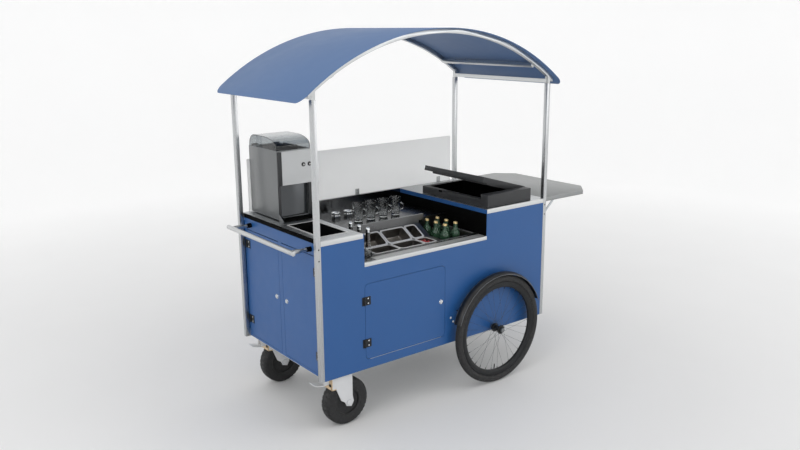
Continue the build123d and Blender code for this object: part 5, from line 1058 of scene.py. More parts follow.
@dataclass
class Goods:
    """Mugs, cruets, bottles and the garnish."""

    mug_places: tuple[float, ...] = (603.95, 693.95, 783.95, 873.95)  # X of the mugs
    mug_row: Pair = (515.0, 962.0)  # Y and Z of the mugs' feet
    mug_turn: float = -38.0  # Angle of the mugs' handles
    mug_flare: float = 10.0  # How much the radius of a mug grows from its foot to its mouth
    mug_height: float = 108.0  # Height of a mug
    # Section of a mug
    mug: Outline = (
        (0.0, 0.0), (20.0, 0.0), (24.0, 1.2), (25.4, 4.6), (34.6, 104.0), (34.6, 107.2), (33.9, 108.0),
        (33.3, 107.2), (32.8, 104.0), (24.2, 14.0), (22.2, 10.4), (0.0, 9.4))
    handle: Point = (20.0, 3.8, 176.0)  # Radius, bar radius and sweep of a handle
    handle_at: Point = (29.6, 0.0, 54.0)  # Middle of a handle's arc, from the mug's foot
    cruet_x: float = 389.0  # X of the cruets
    cruet_places: tuple[float, ...] = (116.0, 196.0, 276.0)  # Y of the cruets
    cruet_foot: float = 886.0  # Z of the cruets' feet
    # Section of a cruet
    cruet: Outline = (
        (0.0, 0.0), (18.0, 0.0), (19.8, 2.0), (20.0, 5.0), (20.0, 28.5), (18.8, 34.0), (12.8, 57.0),
        (12.0, 62.0), (12.0, 134.0), (10.2, 134.0), (10.2, 62.0), (11.1, 56.5), (17.1, 33.0), (18.2, 28.0),
        (17.8, 5.0), (16.0, 3.4), (0.0, 3.2))
    # Section of the syrup in a cruet's neck
    syrup: Outline = ((0.0, 44.0), (14.0, 44.0), (10.9, 56.5), (10.0, 62.0), (10.0, 122.0), (0.0, 122.0))
    # Section of a cruet's stopper
    stopper: Outline = (
        (0.0, 124.0), (9.8, 124.0), (9.8, 134.2), (11.4, 134.4), (12.2, 137.0), (12.4, 140.8),
        (11.6, 145.0), (9.4, 148.6), (5.4, 151.2), (0.0, 152.0))
    bottle_x: Pair = (959.0, 1039.0)  # X of the bottle columns
    bottle_y: Point = (158.0, 238.0, 318.0)  # Y of the bottle rows
    bottle_foot: float = 726.0  # Z of the bottles' feet
    # Section of a bottle
    bottle: Outline = (
        (0.0, 3.0), (20.5, 1.2), (23.8, 0.0), (26.0, 1.6), (27.0, 5.0), (27.0, 160.0), (26.2, 168.0),
        (23.6, 176.0), (19.4, 184.0), (15.0, 192.0), (12.2, 200.0), (11.4, 206.0), (11.2, 222.0),
        (8.8, 222.0), (9.0, 205.0), (9.8, 199.0), (12.6, 191.0), (17.0, 183.0), (21.2, 175.0),
        (23.7, 167.0), (24.4, 160.0), (24.4, 8.0), (20.0, 5.4), (0.0, 7.0))
    cap: Point = (12.6, 12.2, 8.0)  # Foot radius, top radius and height of a cap's skirt
    cap_flutes: int = 21  # Number of flutes round a cap
    cap_pinch: float = 0.95  # Share of the radius at a flute's bottom
    cap_dome: Outline = ((1.2, 2.2), (2.2, 1.8), (3.2, 1.2))  # Width and rise of each step of a cap's dome
    cherry_radius: float = 9.0  # Radius of a cherry
    cherry_dimple: float = 1.6  # Depth of a cherry's dimple
    cherry_start: Pair = (793.5, 113.5)  # X and Y of the heap's first cherry
    cherry_pitch: Pair = (16.65, 17.2)  # Distance between cherries along X and Y
    cherry_layers: tuple[float, ...] = (835.0, 849.0, 863.0, 874.0)  # Heights of the heap's layers
    cherry_rows: int = 5  # Number of rows in a layer
    # Fixed phases that scatter the heap by layer, row and column, and then front to back
    cherry_waves: tuple[float, float, float, float] = (7.1, 3.7, 5.3, 9.0)
    # How far a cherry strays sideways and upwards, and how much it turns
    cherry_stray: Point = (1.2, 1.5, 2.2)

    def build(self) -> None:
        """Build and dress the goods."""
        cruets = standing((self.cruet_x, y, self.cruet_foot) for y in self.cruet_places)
        bottles = standing((x, y, self.bottle_foot) for x in self.bottle_x for y in self.bottle_y)
        self.glasses(cruets)
        Form().turned(self.syrup, *cruets, steps=28).piece("cruet_syrup", "cart", SYRUP)
        Form().turned(self.stopper, *cruets, steps=28).piece("cruet_stoppers", "cart", CHROME, crease=60.0)
        form = Form().turned(self.bottle, *bottles, steps=40)
        form.piece("green_bottles", "cart", GREEN_GLASS, "bottles", crease=60.0)
        self.caps()
        self.cherries()

    def glasses(self, cruets: list[Matrix]) -> None:
        """Build the handled mugs and the cruets' glass.

        Args:
            cruets: The cruets' places.
        """
        form = Form()
        turn = Matrix.Rotation(math.radians(self.mug_turn), 4, "Z")
        lean = Matrix.Rotation(math.atan2(self.mug_flare, self.mug_height), 4, "Y")
        for x in self.mug_places:
            foot = Matrix.Translation((x, *self.mug_row)) @ turn
            form.turned(self.mug, foot, steps=40)
            form.hoop(*self.handle, foot @ Matrix.Translation(self.handle_at) @ lean @ UPRIGHT)
        form.turned(self.cruet, *cruets, steps=32)
        form.piece("mugs_and_cruets", "cart", CLEAR_GLASS, "glassware", crease=60.0)

    def caps(self) -> None:
        """Build the fluted gold caps with their domed tops."""
        foot, top, height = self.cap
        low, _ = corners("bottle_caps")
        form = Form()
        for place in standing((x, y, low.z + height / 2) for x in self.bottle_x for y in self.bottle_y):
            shape = bmesh.new()
            bmesh.ops.create_cone(shape, cap_ends=True, segments=2 * self.cap_flutes, radius1=foot,
                                  radius2=top, depth=height)
            flutes = [vert for index, vert in enumerate(shape.verts) if (index // 2) % 2]
            bmesh.ops.scale(shape, vec=(self.cap_pinch, self.cap_pinch, 1.0), verts=flutes)
            lid = level_faces(shape, 1)
            for width, rise in self.cap_dome:
                bmesh.ops.inset_region(shape, faces=lid, thickness=width, depth=rise)
            form.join(shape, place)
        form.piece("gold_caps", "cart", GOLD_CAP, "bottle_caps", crease=40.0)

    def cherries(self) -> None:
        """Build the heap of cherries in the narrow front pan."""
        form = Form()
        for layer, height in enumerate(self.cherry_layers):
            for row in range(self.cherry_rows):
                full = (row + layer) % 2
                for column in range(2 + full):
                    form.join(self.cherry(), self.cherry_place(layer, row, column, height))
        form.piece("garnish_cherries", "cart", CHERRY, crease=80.0)

    def cherry(self) -> Shape:
        """Make a cherry.

        Returns:
            A ball with a dimple on top.
        """
        shape = bmesh.new()
        bmesh.ops.create_icosphere(shape, subdivisions=2, radius=self.cherry_radius)
        dimple = [vert for vert in shape.verts if vert.co.z > 0.9 * self.cherry_radius]
        bmesh.ops.translate(shape, vec=(0, 0, -self.cherry_dimple), verts=dimple)
        return shape

    def cherry_place(self, layer: int, row: int, column: int, height: float) -> Matrix:
        """Return a cherry's place in the heap, strayed by a fixed wave.

        Args:
            layer: Number of its layer.
            row: Number of its row.
            column: Number of its column.
            height: Height of its layer.

        Returns:
            The place, with the cherry's own turn.
        """
        sideways, upwards, turn = self.cherry_stray
        step_x, step_y = self.cherry_pitch
        offset = 0.0 if (row + layer) % 2 else step_x / 2
        by_layer, by_row, by_column, swirl = self.cherry_waves
        wave = math.sin(by_layer * layer + by_row * row + by_column * column)
        x = self.cherry_start[0] + offset + step_x * column + sideways * wave
        y = self.cherry_start[1] + step_y * row + sideways * math.cos(swirl * wave)
        return Matrix.Translation((x, y, height + upwards * wave)) @ Matrix.Rotation(turn * wave, 4, "X")


@dataclass
class IceBox:
    """Insulated ice box with its hinged lid."""

    rounding: float = 2.5  # Rounding of the moulded edges
    hollow_low: Point = (1189.0, 74.0, 882.0)  # Lowest corner of the tub's hollow
    hollow_high: Point = (1476.0, 570.0, 1086.0)  # Highest corner of the tub's hollow
    liner_gap: float = 0.4  # How much smaller the liner is than the hollow
    liner_round: float = 8.0  # Rounding of the liner's corners
    liner_wall: float = 1.5  # Thickness of the liner
    notch: Slab = ((1156.2, 416.0, 1075.0), (1158.0, 446.0, 1088.0), 0.8)  # The black block that paints the shade of the finger notch

    def build(self) -> None:
        """Build and dress the ice box."""
        rounded("icebox_body", "icebox_tub", BOX_PLASTIC, self.rounding, inner=False)
        rounded("icebox_lid", "icebox_cover", BOX_PLASTIC, self.rounding, "icebox_lid", inner=False)
        # A black block painted in as the finger notch's shade.
        Form().block(*self.notch).piece("icebox_notch", "cart", BLACK_ABS)
        self.liner()

    def liner(self) -> None:
        """Build the black skin inside the tub, painted shade of the tub's deep inside."""
        low, high = Vector(self.hollow_low), Vector(self.hollow_high)
        shape = cube([size - self.liner_gap for size in high - low])
        bmesh.ops.delete(shape, geom=level_faces(shape, 1), context="FACES_ONLY")
        inner = [edge for edge in shape.edges if not edge.is_boundary]
        round_edges(shape, inner, self.liner_round, 3, clamp=False)
        bmesh.ops.reverse_faces(shape, faces=shape.faces)
        bmesh.ops.solidify(shape, geom=shape.faces[:], thickness=self.liner_wall)
        form = Form().join(shape, Matrix.Translation((high + low) / 2))
        form.piece("icebox_liner", "cart", BLACK_ABS, crease=50.0)


@dataclass
class Crusher:
    """Ice crusher with its cover, buttons, clear lid, drum and ice drawer."""

    left: float = 82.0  # X of the casing's left face
    right: float = 290.0  # X of the casing's right face
    front: float = 505.0  # Y of the casing's front face
    foot: float = 1048.0  # Z of the casing's foot
    feet: float = 6.0  # Height of the casing's foot over the counter
    bay_top: float = 1236.0  # Z of the drawer bay's top
    top: float = 1417.0  # Z of the cover's top
    cover_face: float = 497.0  # Y of the cover's face
    sink: float = 0.2  # How far trim sinks into what it sits on
    seat: float = 1.0  # How far the foot plate and its side plates reach into the casing
    edge: float = 16.0  # Width of the black strips beside the drawer bay
    edge_out: float = 2.0  # How far these strips stand out
    edge_foot: float = 4.0  # Height of these strips over the casing's foot
    edge_gap: float = 1.0  # Distance of the right strip below the drawer bay's top
    frame: float = 25.0  # Width of the black strip beside the cover
    frame_corner: float = 17.5  # Width of this strip's part that wraps the casing's corner
    frame_out: float = 1.2  # How far this strip stands out from the cover
    plinth_reach: float = 40.0  # How far the foot plate stands out in front
    plinth_back: float = 20.0  # How far the foot plate runs under the casing
    plinth_step: Pair = (2.0, 3.4)  # Width and height of the step on the foot plate
    gusset: float = 3.0  # Thickness of the side plates over the foot plate
    # How far a side plate stands out past the foot plate, and its height there
    gusset_nose: Pair = (4.0, 9.0)
    gusset_round: float = 0.5  # Rounding of a side plate
    lid_seat: float = 5.3  # Height of the clear lid's foot over the cover
    lid_rise: float = 72.0  # Height of the clear lid's top over the cover
    lid_back: float = 807.4  # Y of the clear lid's back
    lid_crest: float = 640.0  # Y where the clear lid's top starts to fall to the front
    lid_front: float = 18.0  # Height of the clear lid's upright front
    lid_round: float = 60.0  # Radius of the clear lid's back edge
    lid_wall: float = 3.0  # Thickness of the clear lid
    hinge_inset: float = 36.0  # Distance of a lid hinge from the casing's sides
    hinge_axis: Pair = (4.3, 9.3)  # Distance of the hinges' axis behind the lid and over the cover
    knuckle: Point = (5.7, 4.0, 0.5)  # Half the length, the radius and the rounding of a hinge knuckle
    buttons: Pair = (240.0, 278.0)  # X of the push buttons
    button_z: float = 1338.0  # Z of the push buttons
    button_out: float = 5.0  # How far a push button stands out from the cover
    # Section of the ring round a push button
    button_ring: Outline = ((9.0, -0.2), (9.0, 1.8), (9.8, 2.4), (11.0, 2.2), (11.8, 1.0), (11.8, -0.2))
    # Section of a push button's pale centre
    button_lens: Outline = ((0.0, 1.0), (2.4, 0.9), (4.2, 0.5), (4.8, -0.4), (0.0, -0.4))

    def build(self) -> None:
        """Build and dress the crusher."""
        dress(BLACK_OXIDE, "crusher_drum")
        dress(BUTTON_RESIN, "crusher_button_left", "crusher_button_right")
        dress(COVER_STEEL, "crusher_cover")
        rounded("crusher_body", "crusher_casing", CASING_STEEL, rounding=0.8)
        rounded("ice_drawer", "drawer_box", DRAWER_STEEL, body="ice_drawer")
        self.lid_dome()
        self.lid_hinges()
        self.edge_strips()
        self.plinth()
        self.gussets()
        self.button_trim()

    def lid_dome(self) -> None:
        """Build the clear lid: an outline of arcs drawn out sideways, open below."""
        low, high = self.top + self.lid_seat, self.top + self.lid_rise
        knee = low + self.lid_front
        outline = [(self.front, low)]
        for turn in quarter(12):
            y = self.front + (self.lid_crest - self.front) * (1 - math.cos(turn))
            outline.append((y, knee + (high - knee) * math.sin(turn)))
        for turn in quarter(8):
            y = self.lid_back - self.lid_round * (1 - math.sin(turn))
            outline.append((y, high - self.lid_round * (1 - math.cos(turn))))
        outline.append((self.lid_back, low))
        shape = draw_out(outline, self.left, self.right - self.left)
        bmesh.ops.delete(shape, geom=level_faces(shape, -1), context="FACES_ONLY")
        bmesh.ops.solidify(shape, geom=shape.faces[:], thickness=self.lid_wall)
        Form().join(shape).piece("lid_dome", "crusher_lid", CLEAR_LID, "crusher_lid", crease=30.0)

    def lid_hinges(self) -> None:
        """Build the lid's hinge knuckles and the tabs that hold them on its back."""
        form = Form()
        y, z = self.lid_back + self.hinge_axis[0], self.top + self.hinge_axis[1]
        half, radius, rounding = self.knuckle
        for x in (self.left + self.hinge_inset, self.right - self.hinge_inset):
            form.rod((x - half, y, z), (x + half, y, z), radius, rounding)
            form.block((x - half, self.lid_back - self.sink, z), (x + half, y, z + radius), rounding)
        form.piece("lid_hinge_knuckles", "crusher_lid", BLACK_OXIDE)

    def edge_strips(self) -> None:
        """Build the black strips on the casing's front edges."""
        front, back, foot = self.front - self.edge_out, self.front + self.sink, self.foot + self.edge_foot
        face, corner, bay = self.cover_face - self.frame_out, self.left + self.frame_corner, self.bay_top
        end = self.left + self.frame
        form = Form()
        form.block((self.left, front, foot), (self.left + self.edge, back, bay), rounding=0.8)
        form.block((self.left, face, bay), (corner, back, self.top), rounding=0.6)
        form.block((corner, face, bay), (end, self.cover_face, self.top), rounding=0.4)
        top = bay - self.edge_gap
        form.block((self.right - self.edge, front, foot), (self.right, back, top), rounding=0.8)
        form.piece("casing_edge_strips", "cart", BOX_PLASTIC)

    def plinth(self) -> None:
        """Build the black foot plate that stands out under the drawer's lip, black in itself and also
        painting the shadow under the lip.
        """
        counter, front = self.foot - self.feet, self.front - self.plinth_reach
        left, right = self.left + self.gusset, self.right - self.gusset
        wide, high = self.plinth_step
        plate, under = self.foot - self.sink, self.front + self.plinth_back
        form = Form().block((left, front, counter), (right, under, plate), rounding=1.5)
        form.block((left, front + wide, plate - self.sink),
                   (right, self.front + self.seat, self.foot + high), rounding=1.0)
        form.piece("casing_plinth", "cart", BLACK_ABS)

    def gussets(self) -> None:
        """Build the two grey side plates that run from the casing down to the foot plate."""
        nose, lip = self.gusset_nose
        counter = self.foot - self.feet + self.sink
        front, back = self.front - self.plinth_reach - nose, self.front + self.seat
        outline = [(back, counter), (front, counter), (front, counter + lip),
                   (back, counter + self.plinth_reach)]
        form = Form()
        for x in (self.left, self.right - self.gusset):
            shape = draw_out(outline, x, self.gusset)
            round_edges(shape, shape.edges[:], self.gusset_round, clamp=False)
            form.join(shape)
        form.piece("casing_gussets", "cart", CASING_STEEL)

    def button_trim(self) -> None:
        """Build the black rings round the push buttons and the buttons' pale domed centres."""
        rings = [aim((x, self.cover_face, self.button_z), FRONTWARD) for x in self.buttons]
        form = Form().turned(self.button_ring, *rings, steps=32, closed=True)
        form.piece("button_rings", "cart", BUTTON_RESIN)
        for hand, x in zip(("left", "right"), self.buttons):
            place = aim((x, self.cover_face - self.button_out, self.button_z), FRONTWARD)
            form = Form().turned(self.button_lens, place, steps=24)
            form.piece(f"button_lens_{hand}", f"crusher_button_{hand}", BUTTON_LENS)


@dataclass
class Backboard:
    """Frosted board with its angle tabs."""

    tab_places: Point = (155.0, 815.0, 1475.0)  # X of the tabs
    tab_face: float = 824.5  # Y of the tabs' front face
    screw: Pair = (3.2, 1.6)  # Radius and height of a tab's screw
    screw_heights: Pair = (1056.0, 1069.0)  # Heights of a tab's screws

    def build(self) -> None:
        """Build and dress the board."""
        rounded("backboard", "frosted_board", FROSTED_SHEET, rounding=0.8)
        rounded("board_brackets", "board_tabs", SHELF_STEEL, rounding=0.4)
        places = [(x, self.tab_face, z) for x in self.tab_places for z in self.screw_heights]
        Form().screws(places, FRONTWARD, *self.screw).piece("tab_screws", "cart", CHROME)


@dataclass
class Canopy:
    """Arched canopy sheet on its ribs and crossbars."""

    edge_round: float = 1.0  # Rounding of the sheet's edge
    tube_round: float = 1.2  # Rounding of the tubes' edges

    def build(self) -> None:
        """Build and dress the canopy."""
        rounded("canopy_sheet", "canopy_arch", CANOPY_COAT, self.edge_round)
        rounded("canopy_frame", "canopy_ribs", RAIL_ALUMINIUM, self.tube_round)


@dataclass
class PushBar:
    """Push bar on two arms."""

    x: float = -85.0  # X of the bar
    z: float = 986.0  # Z of the bar and its arms
    start: float = 72.0  # Y of the bar's front end
    end: float = 784.0  # Y of the bar's back end
    # Section of an end of the bar, with its groove
    tip: Outline = (
        (0.0, 0.0), (9.0, 0.0), (11.5, 1.0), (12.5, 3.5), (12.5, 16.0), (11.7, 16.2), (11.7, 17.8),
        (12.5, 18.0))
    arm_radius: float = 9.0  # Radius of an arm
    arm_places: Pair = (102.0, 736.0)  # Y of the arms
    arm_end: float = 30.0  # X where the arms end
    collar_x: float = -75.0  # X where the arms' collars start
    # Section of a tapered collar
    collar: Outline = ((9.0, 0.0), (12.2, 0.0), (11.8, 22.0), (9.6, 62.0), (9.0, 63.0))

    def build(self) -> None:
        """Build and dress the push bar."""
        bar = mirrored(self.tip, self.end - self.start)
        form = Form().turned(bar, aim((self.x, self.start, self.z), BACKWARD), steps=40)
        for y in self.arm_places:
            form.rod((self.x, y, self.z), (self.arm_end, y, self.z), self.arm_radius, sides=32)
            form.turned(self.collar, aim((self.collar_x, y, self.z), RIGHTWARD), steps=32, closed=True)
        form.piece("push_bar_tube", "cart", RAIL_ALUMINIUM, "push_handle")


@dataclass
class BigWheel:
    """A spoked wheel."""

    side: Side  # The side of the cart that it is on
    x: float = 1195.93  # X of the axle
    z: float = 326.5  # Z of the axle
    out: float = 468.0  # Distance of the wheel's middle from the cart's middle
    tyre_middle: float = 304.5  # Radius of the tyre's section middle
    tyre_section: float = 22.0  # Radius of the tyre's section
    tread_share: float = 0.72  # Share of the section's radius past which the tread starts
    tread: Pair = (1.0, 1.2)  # Gap round a tread block, and its height
    seat: float = 286.0  # Radius of the rim's seat
    rim_inner: float = 252.0  # Inner radius of the rim
    gap: float = 0.2  # Distance between the rim and the parts that end on it
    # Section of half the hub's shell
    hub_half: Outline = (
        (15.4, 0.0), (15.4, 21.0), (16.4, 22.4), (26.4, 22.6), (26.4, 27.4), (25.6, 28.0), (16.0, 28.2),
        (15.4, 29.0), (15.4, 30.6), (14.6, 31.2), (8.6, 31.2), (8.6, 30.8), (14.9, 30.8), (14.9, 0.0))
    spokes: int = 32  # Number of spokes
    wire: float = 0.65  # Radius of a spoke
    head: Pair = (0.3, 3.4)  # How much thicker a spoke's head is, and half its length
    flange: float = 25.0  # Distance of the hub's flanges from the wheel's middle
    hole: float = 22.0  # Radius of the flanges' spoke holes
    twist: float = 52.0  # Angle between a spoke's two ends
    nipple: Pair = (12.0, 2.0)  # Length and radius of a spoke's nipple
    # Angle, length, radius and rounding of the valve
    valve: tuple[float, float, float, float] = (264.4, 32.0, 3.2, 1.0)

    @property
    def body(self) -> str:
        """Return the name of the wheel's body."""
        return f"{self.side.word}_wheel"

    @property
    def middle(self) -> Vector:
        """Return the wheel's middle."""
        return Vector((self.x, MIDDLE_Y + self.side.value * self.out, self.z))

    def place(self) -> Matrix:
        """Return the wheel's place, with its axle along local Z."""
        return aim(self.middle, BACKWARD)

    def build(self) -> None:
        """Build and dress the wheel."""
        self.tyre()
        self.rim()
        form = Form().turned(self.hub_half, self.place(), self.place() @ Matrix.Rotation(math.pi, 4, "X"),
                             steps=40, closed=True)
        form.piece(f"{self.body}_hub_shell", self.body, RIM_ALUMINIUM)
        self.wires()
        self.nipples()

    def tyre(self) -> None:
        """Build the tyre with its raised tread blocks, flattened where it sits on the rim."""
        shape = bmesh.new()
        bmesh.ops.create_circle(shape, segments=24, radius=self.tyre_section)
        shift = Matrix.Translation((self.tyre_middle, 0, 0)) @ UPRIGHT
        bmesh.ops.transform(shape, matrix=shift, verts=shape.verts)
        for vert in shape.verts:
            vert.co.x = max(vert.co.x, self.seat + self.gap)
        bmesh.ops.remove_doubles(shape, verts=shape.verts, dist=0.01)
        spin_round(shape, 160)
        outer = self.tyre_middle + self.tread_share * self.tyre_section
        tread = [face for face in shape.faces if face.calc_center_median().xy.length > outer]
        between, height = self.tread
        bmesh.ops.inset_individual(shape, faces=tread, thickness=between, depth=-height,
                                   use_even_offset=True)
        form = Form().join(shape, self.place())
        form.piece(f"{self.body}_tread", self.body, TYRE_RUBBER, f"{self.body}_tyre", crease=45.0)

    def rim(self) -> None:
        """Build the deep black rim with rounded shoulders."""
        inner, seat = self.rim_inner, self.seat
        half = [(inner, 0.0), (inner, 5.0), (inner + 1.2, 7.0), (inner + 9, 10.8), (inner + 16, 13.6),
                (inner + 19, 14.0), (seat - 1.5, 14.0), (seat, 12.6), (seat, 0.0)]
        outline = half + [(radius, -height) for radius, height in reversed(half[1:-1])]
        form = Form().turned(outline, self.place(), steps=128, closed=True)
        form.piece(f"{self.body}_rim_section", self.body, RIM_ALUMINIUM, f"{self.body}_rim")

    def lacing(self) -> Iterator[tuple[Vector, Vector]]:
        """Give the two ends of each spoke, crossed in pairs between the two flanges.

        Yields:
            The end at the rim and the end at the hub.
        """
        for index in range(self.spokes):
            turn = math.tau * index / self.spokes
            lean = 1.0 if (index // 2) % 2 else -1.0
            offset = self.flange if index % 2 else -self.flange
            hub_turn = turn + lean * math.radians(self.twist)
            rim = Vector((math.cos(turn), 0.0, math.sin(turn))) * (self.rim_inner - self.gap)
            hub = Vector((self.hole * math.cos(hub_turn), offset, self.hole * math.sin(hub_turn)))
            yield self.middle + rim, self.middle + hub

    def wires(self) -> None:
        """Build the thin spokes, each with its bent head at the flange."""
        form = Form()
        thicker, half = self.head
        for rim, hub in self.lacing():
            form.rod(rim[:], hub[:], self.wire, sides=6)
            bend = Vector((0.0, half, 0.0))
            form.rod((hub - bend)[:], (hub + bend)[:], self.wire + thicker, sides=6)
        form.piece(f"{self.body}_wires", self.body, SPOKE_WIRE, f"{self.body}_spokes")

    def nipples(self) -> None:
        """Build the spoke nipples at the rim and the valve."""
        form = Form()
        length, radius = self.nipple
        for rim, hub in self.lacing():
            form.rod(rim[:], (rim + (hub - rim).normalized() * length)[:], radius, sides=8)
        angle, length, radius, rounding = self.valve
        turn = math.radians(angle)
        outwards = Vector((math.cos(turn), 0.0, math.sin(turn)))
        inside = self.rim_inner - self.gap
        start, end = self.middle + outwards * inside, self.middle + outwards * (inside - length)
        form.rod(start[:], end[:], radius, rounding, sides=12)
        form.piece(f"{self.body}_nipples", self.body, RIM_ALUMINIUM)


@dataclass
class Mudguards:
    """The two crowned mudguards, which stay with the cart."""

    wheels: list[BigWheel]  # The wheels that the guards follow
    radius: float = 345.5  # Outer radius of a guard at its crown
    sweep: Pair = (20.0, 163.0)  # First and last angle of a guard
    crown: float = 13.0  # Height of a guard's crown
    half_width: float = 28.0  # Half a guard's width
    wall: float = 2.2  # Thickness of a guard
    bead: float = 1.6  # Radius of the bead along a guard's edges
    stay_angles: Point = (28.0, 90.0, 150.0)  # Angles of a guard's stays
    stay_radius: float = 2.5  # Radius of a stay
    # Distance of a stay's start from the axle, and from the cart's middle
    stay_start: Pair = (331.0, 442.0)
    stay_end: Pair = (325.0, 417.5)  # Distance of a stay's end from the axle, and from the cart's middle

    def build(self) -> None:
        """Build and dress the guards and their stays."""
        form = Form()
        for wheel in self.wheels:
            form.join(self.guard(), wheel.place())
            self.stays(form, wheel)
        rounded("wheel_axle", "axle_and_nuts", AXLE_STEEL, rounding=0.8)
        form.piece("crowned_mudguards", "cart", GUARD_BLACK, "mudguards", crease=50.0)
        self.beads()

    def beads(self) -> None:
        """Build the thin grey beads along the guards' edges, which paint a highlight line."""
        first, last = self.sweep
        turn = Matrix.Rotation(math.radians(180.0 - (first + last) / 2), 4, "Z")
        form = Form()
        for wheel in self.wheels:
            for hand in HANDS:
                edge = Matrix.Translation((0.0, hand * self.half_width, 0.0))
                form.hoop(self.radius - self.crown, self.bead, last - first, edge @ wheel.place() @ turn)
        form.piece("guard_beads", "cart", GUARD_BEAD)

    def guard(self) -> Shape:
        """Make a guard as an arc of a crowned strip.

        Returns:
            The guard about its axle.
        """
        first, last = (math.radians(angle) for angle in self.sweep)
        shape = bmesh.new()
        row = []
        for across in (step / 4 for step in range(-4, 5)):
            drop = self.crown * across ** 2
            row.append(shape.verts.new((self.radius - drop, 0.0, self.half_width * across)))
        edges = [shape.edges.new(pair) for pair in zip(row, row[1:])]
        start = Matrix.Rotation(math.pi - first, 3, "Z")
        bmesh.ops.rotate(shape, cent=(0, 0, 0), matrix=start, verts=shape.verts)
        bmesh.ops.spin(shape, geom=row + edges, cent=(0, 0, 0), axis=(0, 0, -1), angle=last - first,
                       steps=56)
        bmesh.ops.recalc_face_normals(shape, faces=shape.faces)
        sample = shape.faces[:][0]
        if sample.normal.dot(sample.calc_center_median()) < 0:
            bmesh.ops.reverse_faces(shape, faces=shape.faces)
        bmesh.ops.solidify(shape, geom=shape.faces[:], thickness=self.wall)
        return shape

    def stays(self, form: Form, wheel: BigWheel) -> None:
        """Add a guard's stays, which run from its inner edge down to the panel.

        Args:
            form: The form that takes them.
            wheel: The wheel under the guard.
        """
        for turn in (math.radians(angle) for angle in self.stay_angles):
            ends = [(wheel.x + radius * math.cos(turn), MIDDLE_Y + wheel.side.value * out,
                     wheel.z + radius * math.sin(turn)) for radius, out in (self.stay_start, self.stay_end)]
            form.rod(*ends, self.stay_radius, sides=16)


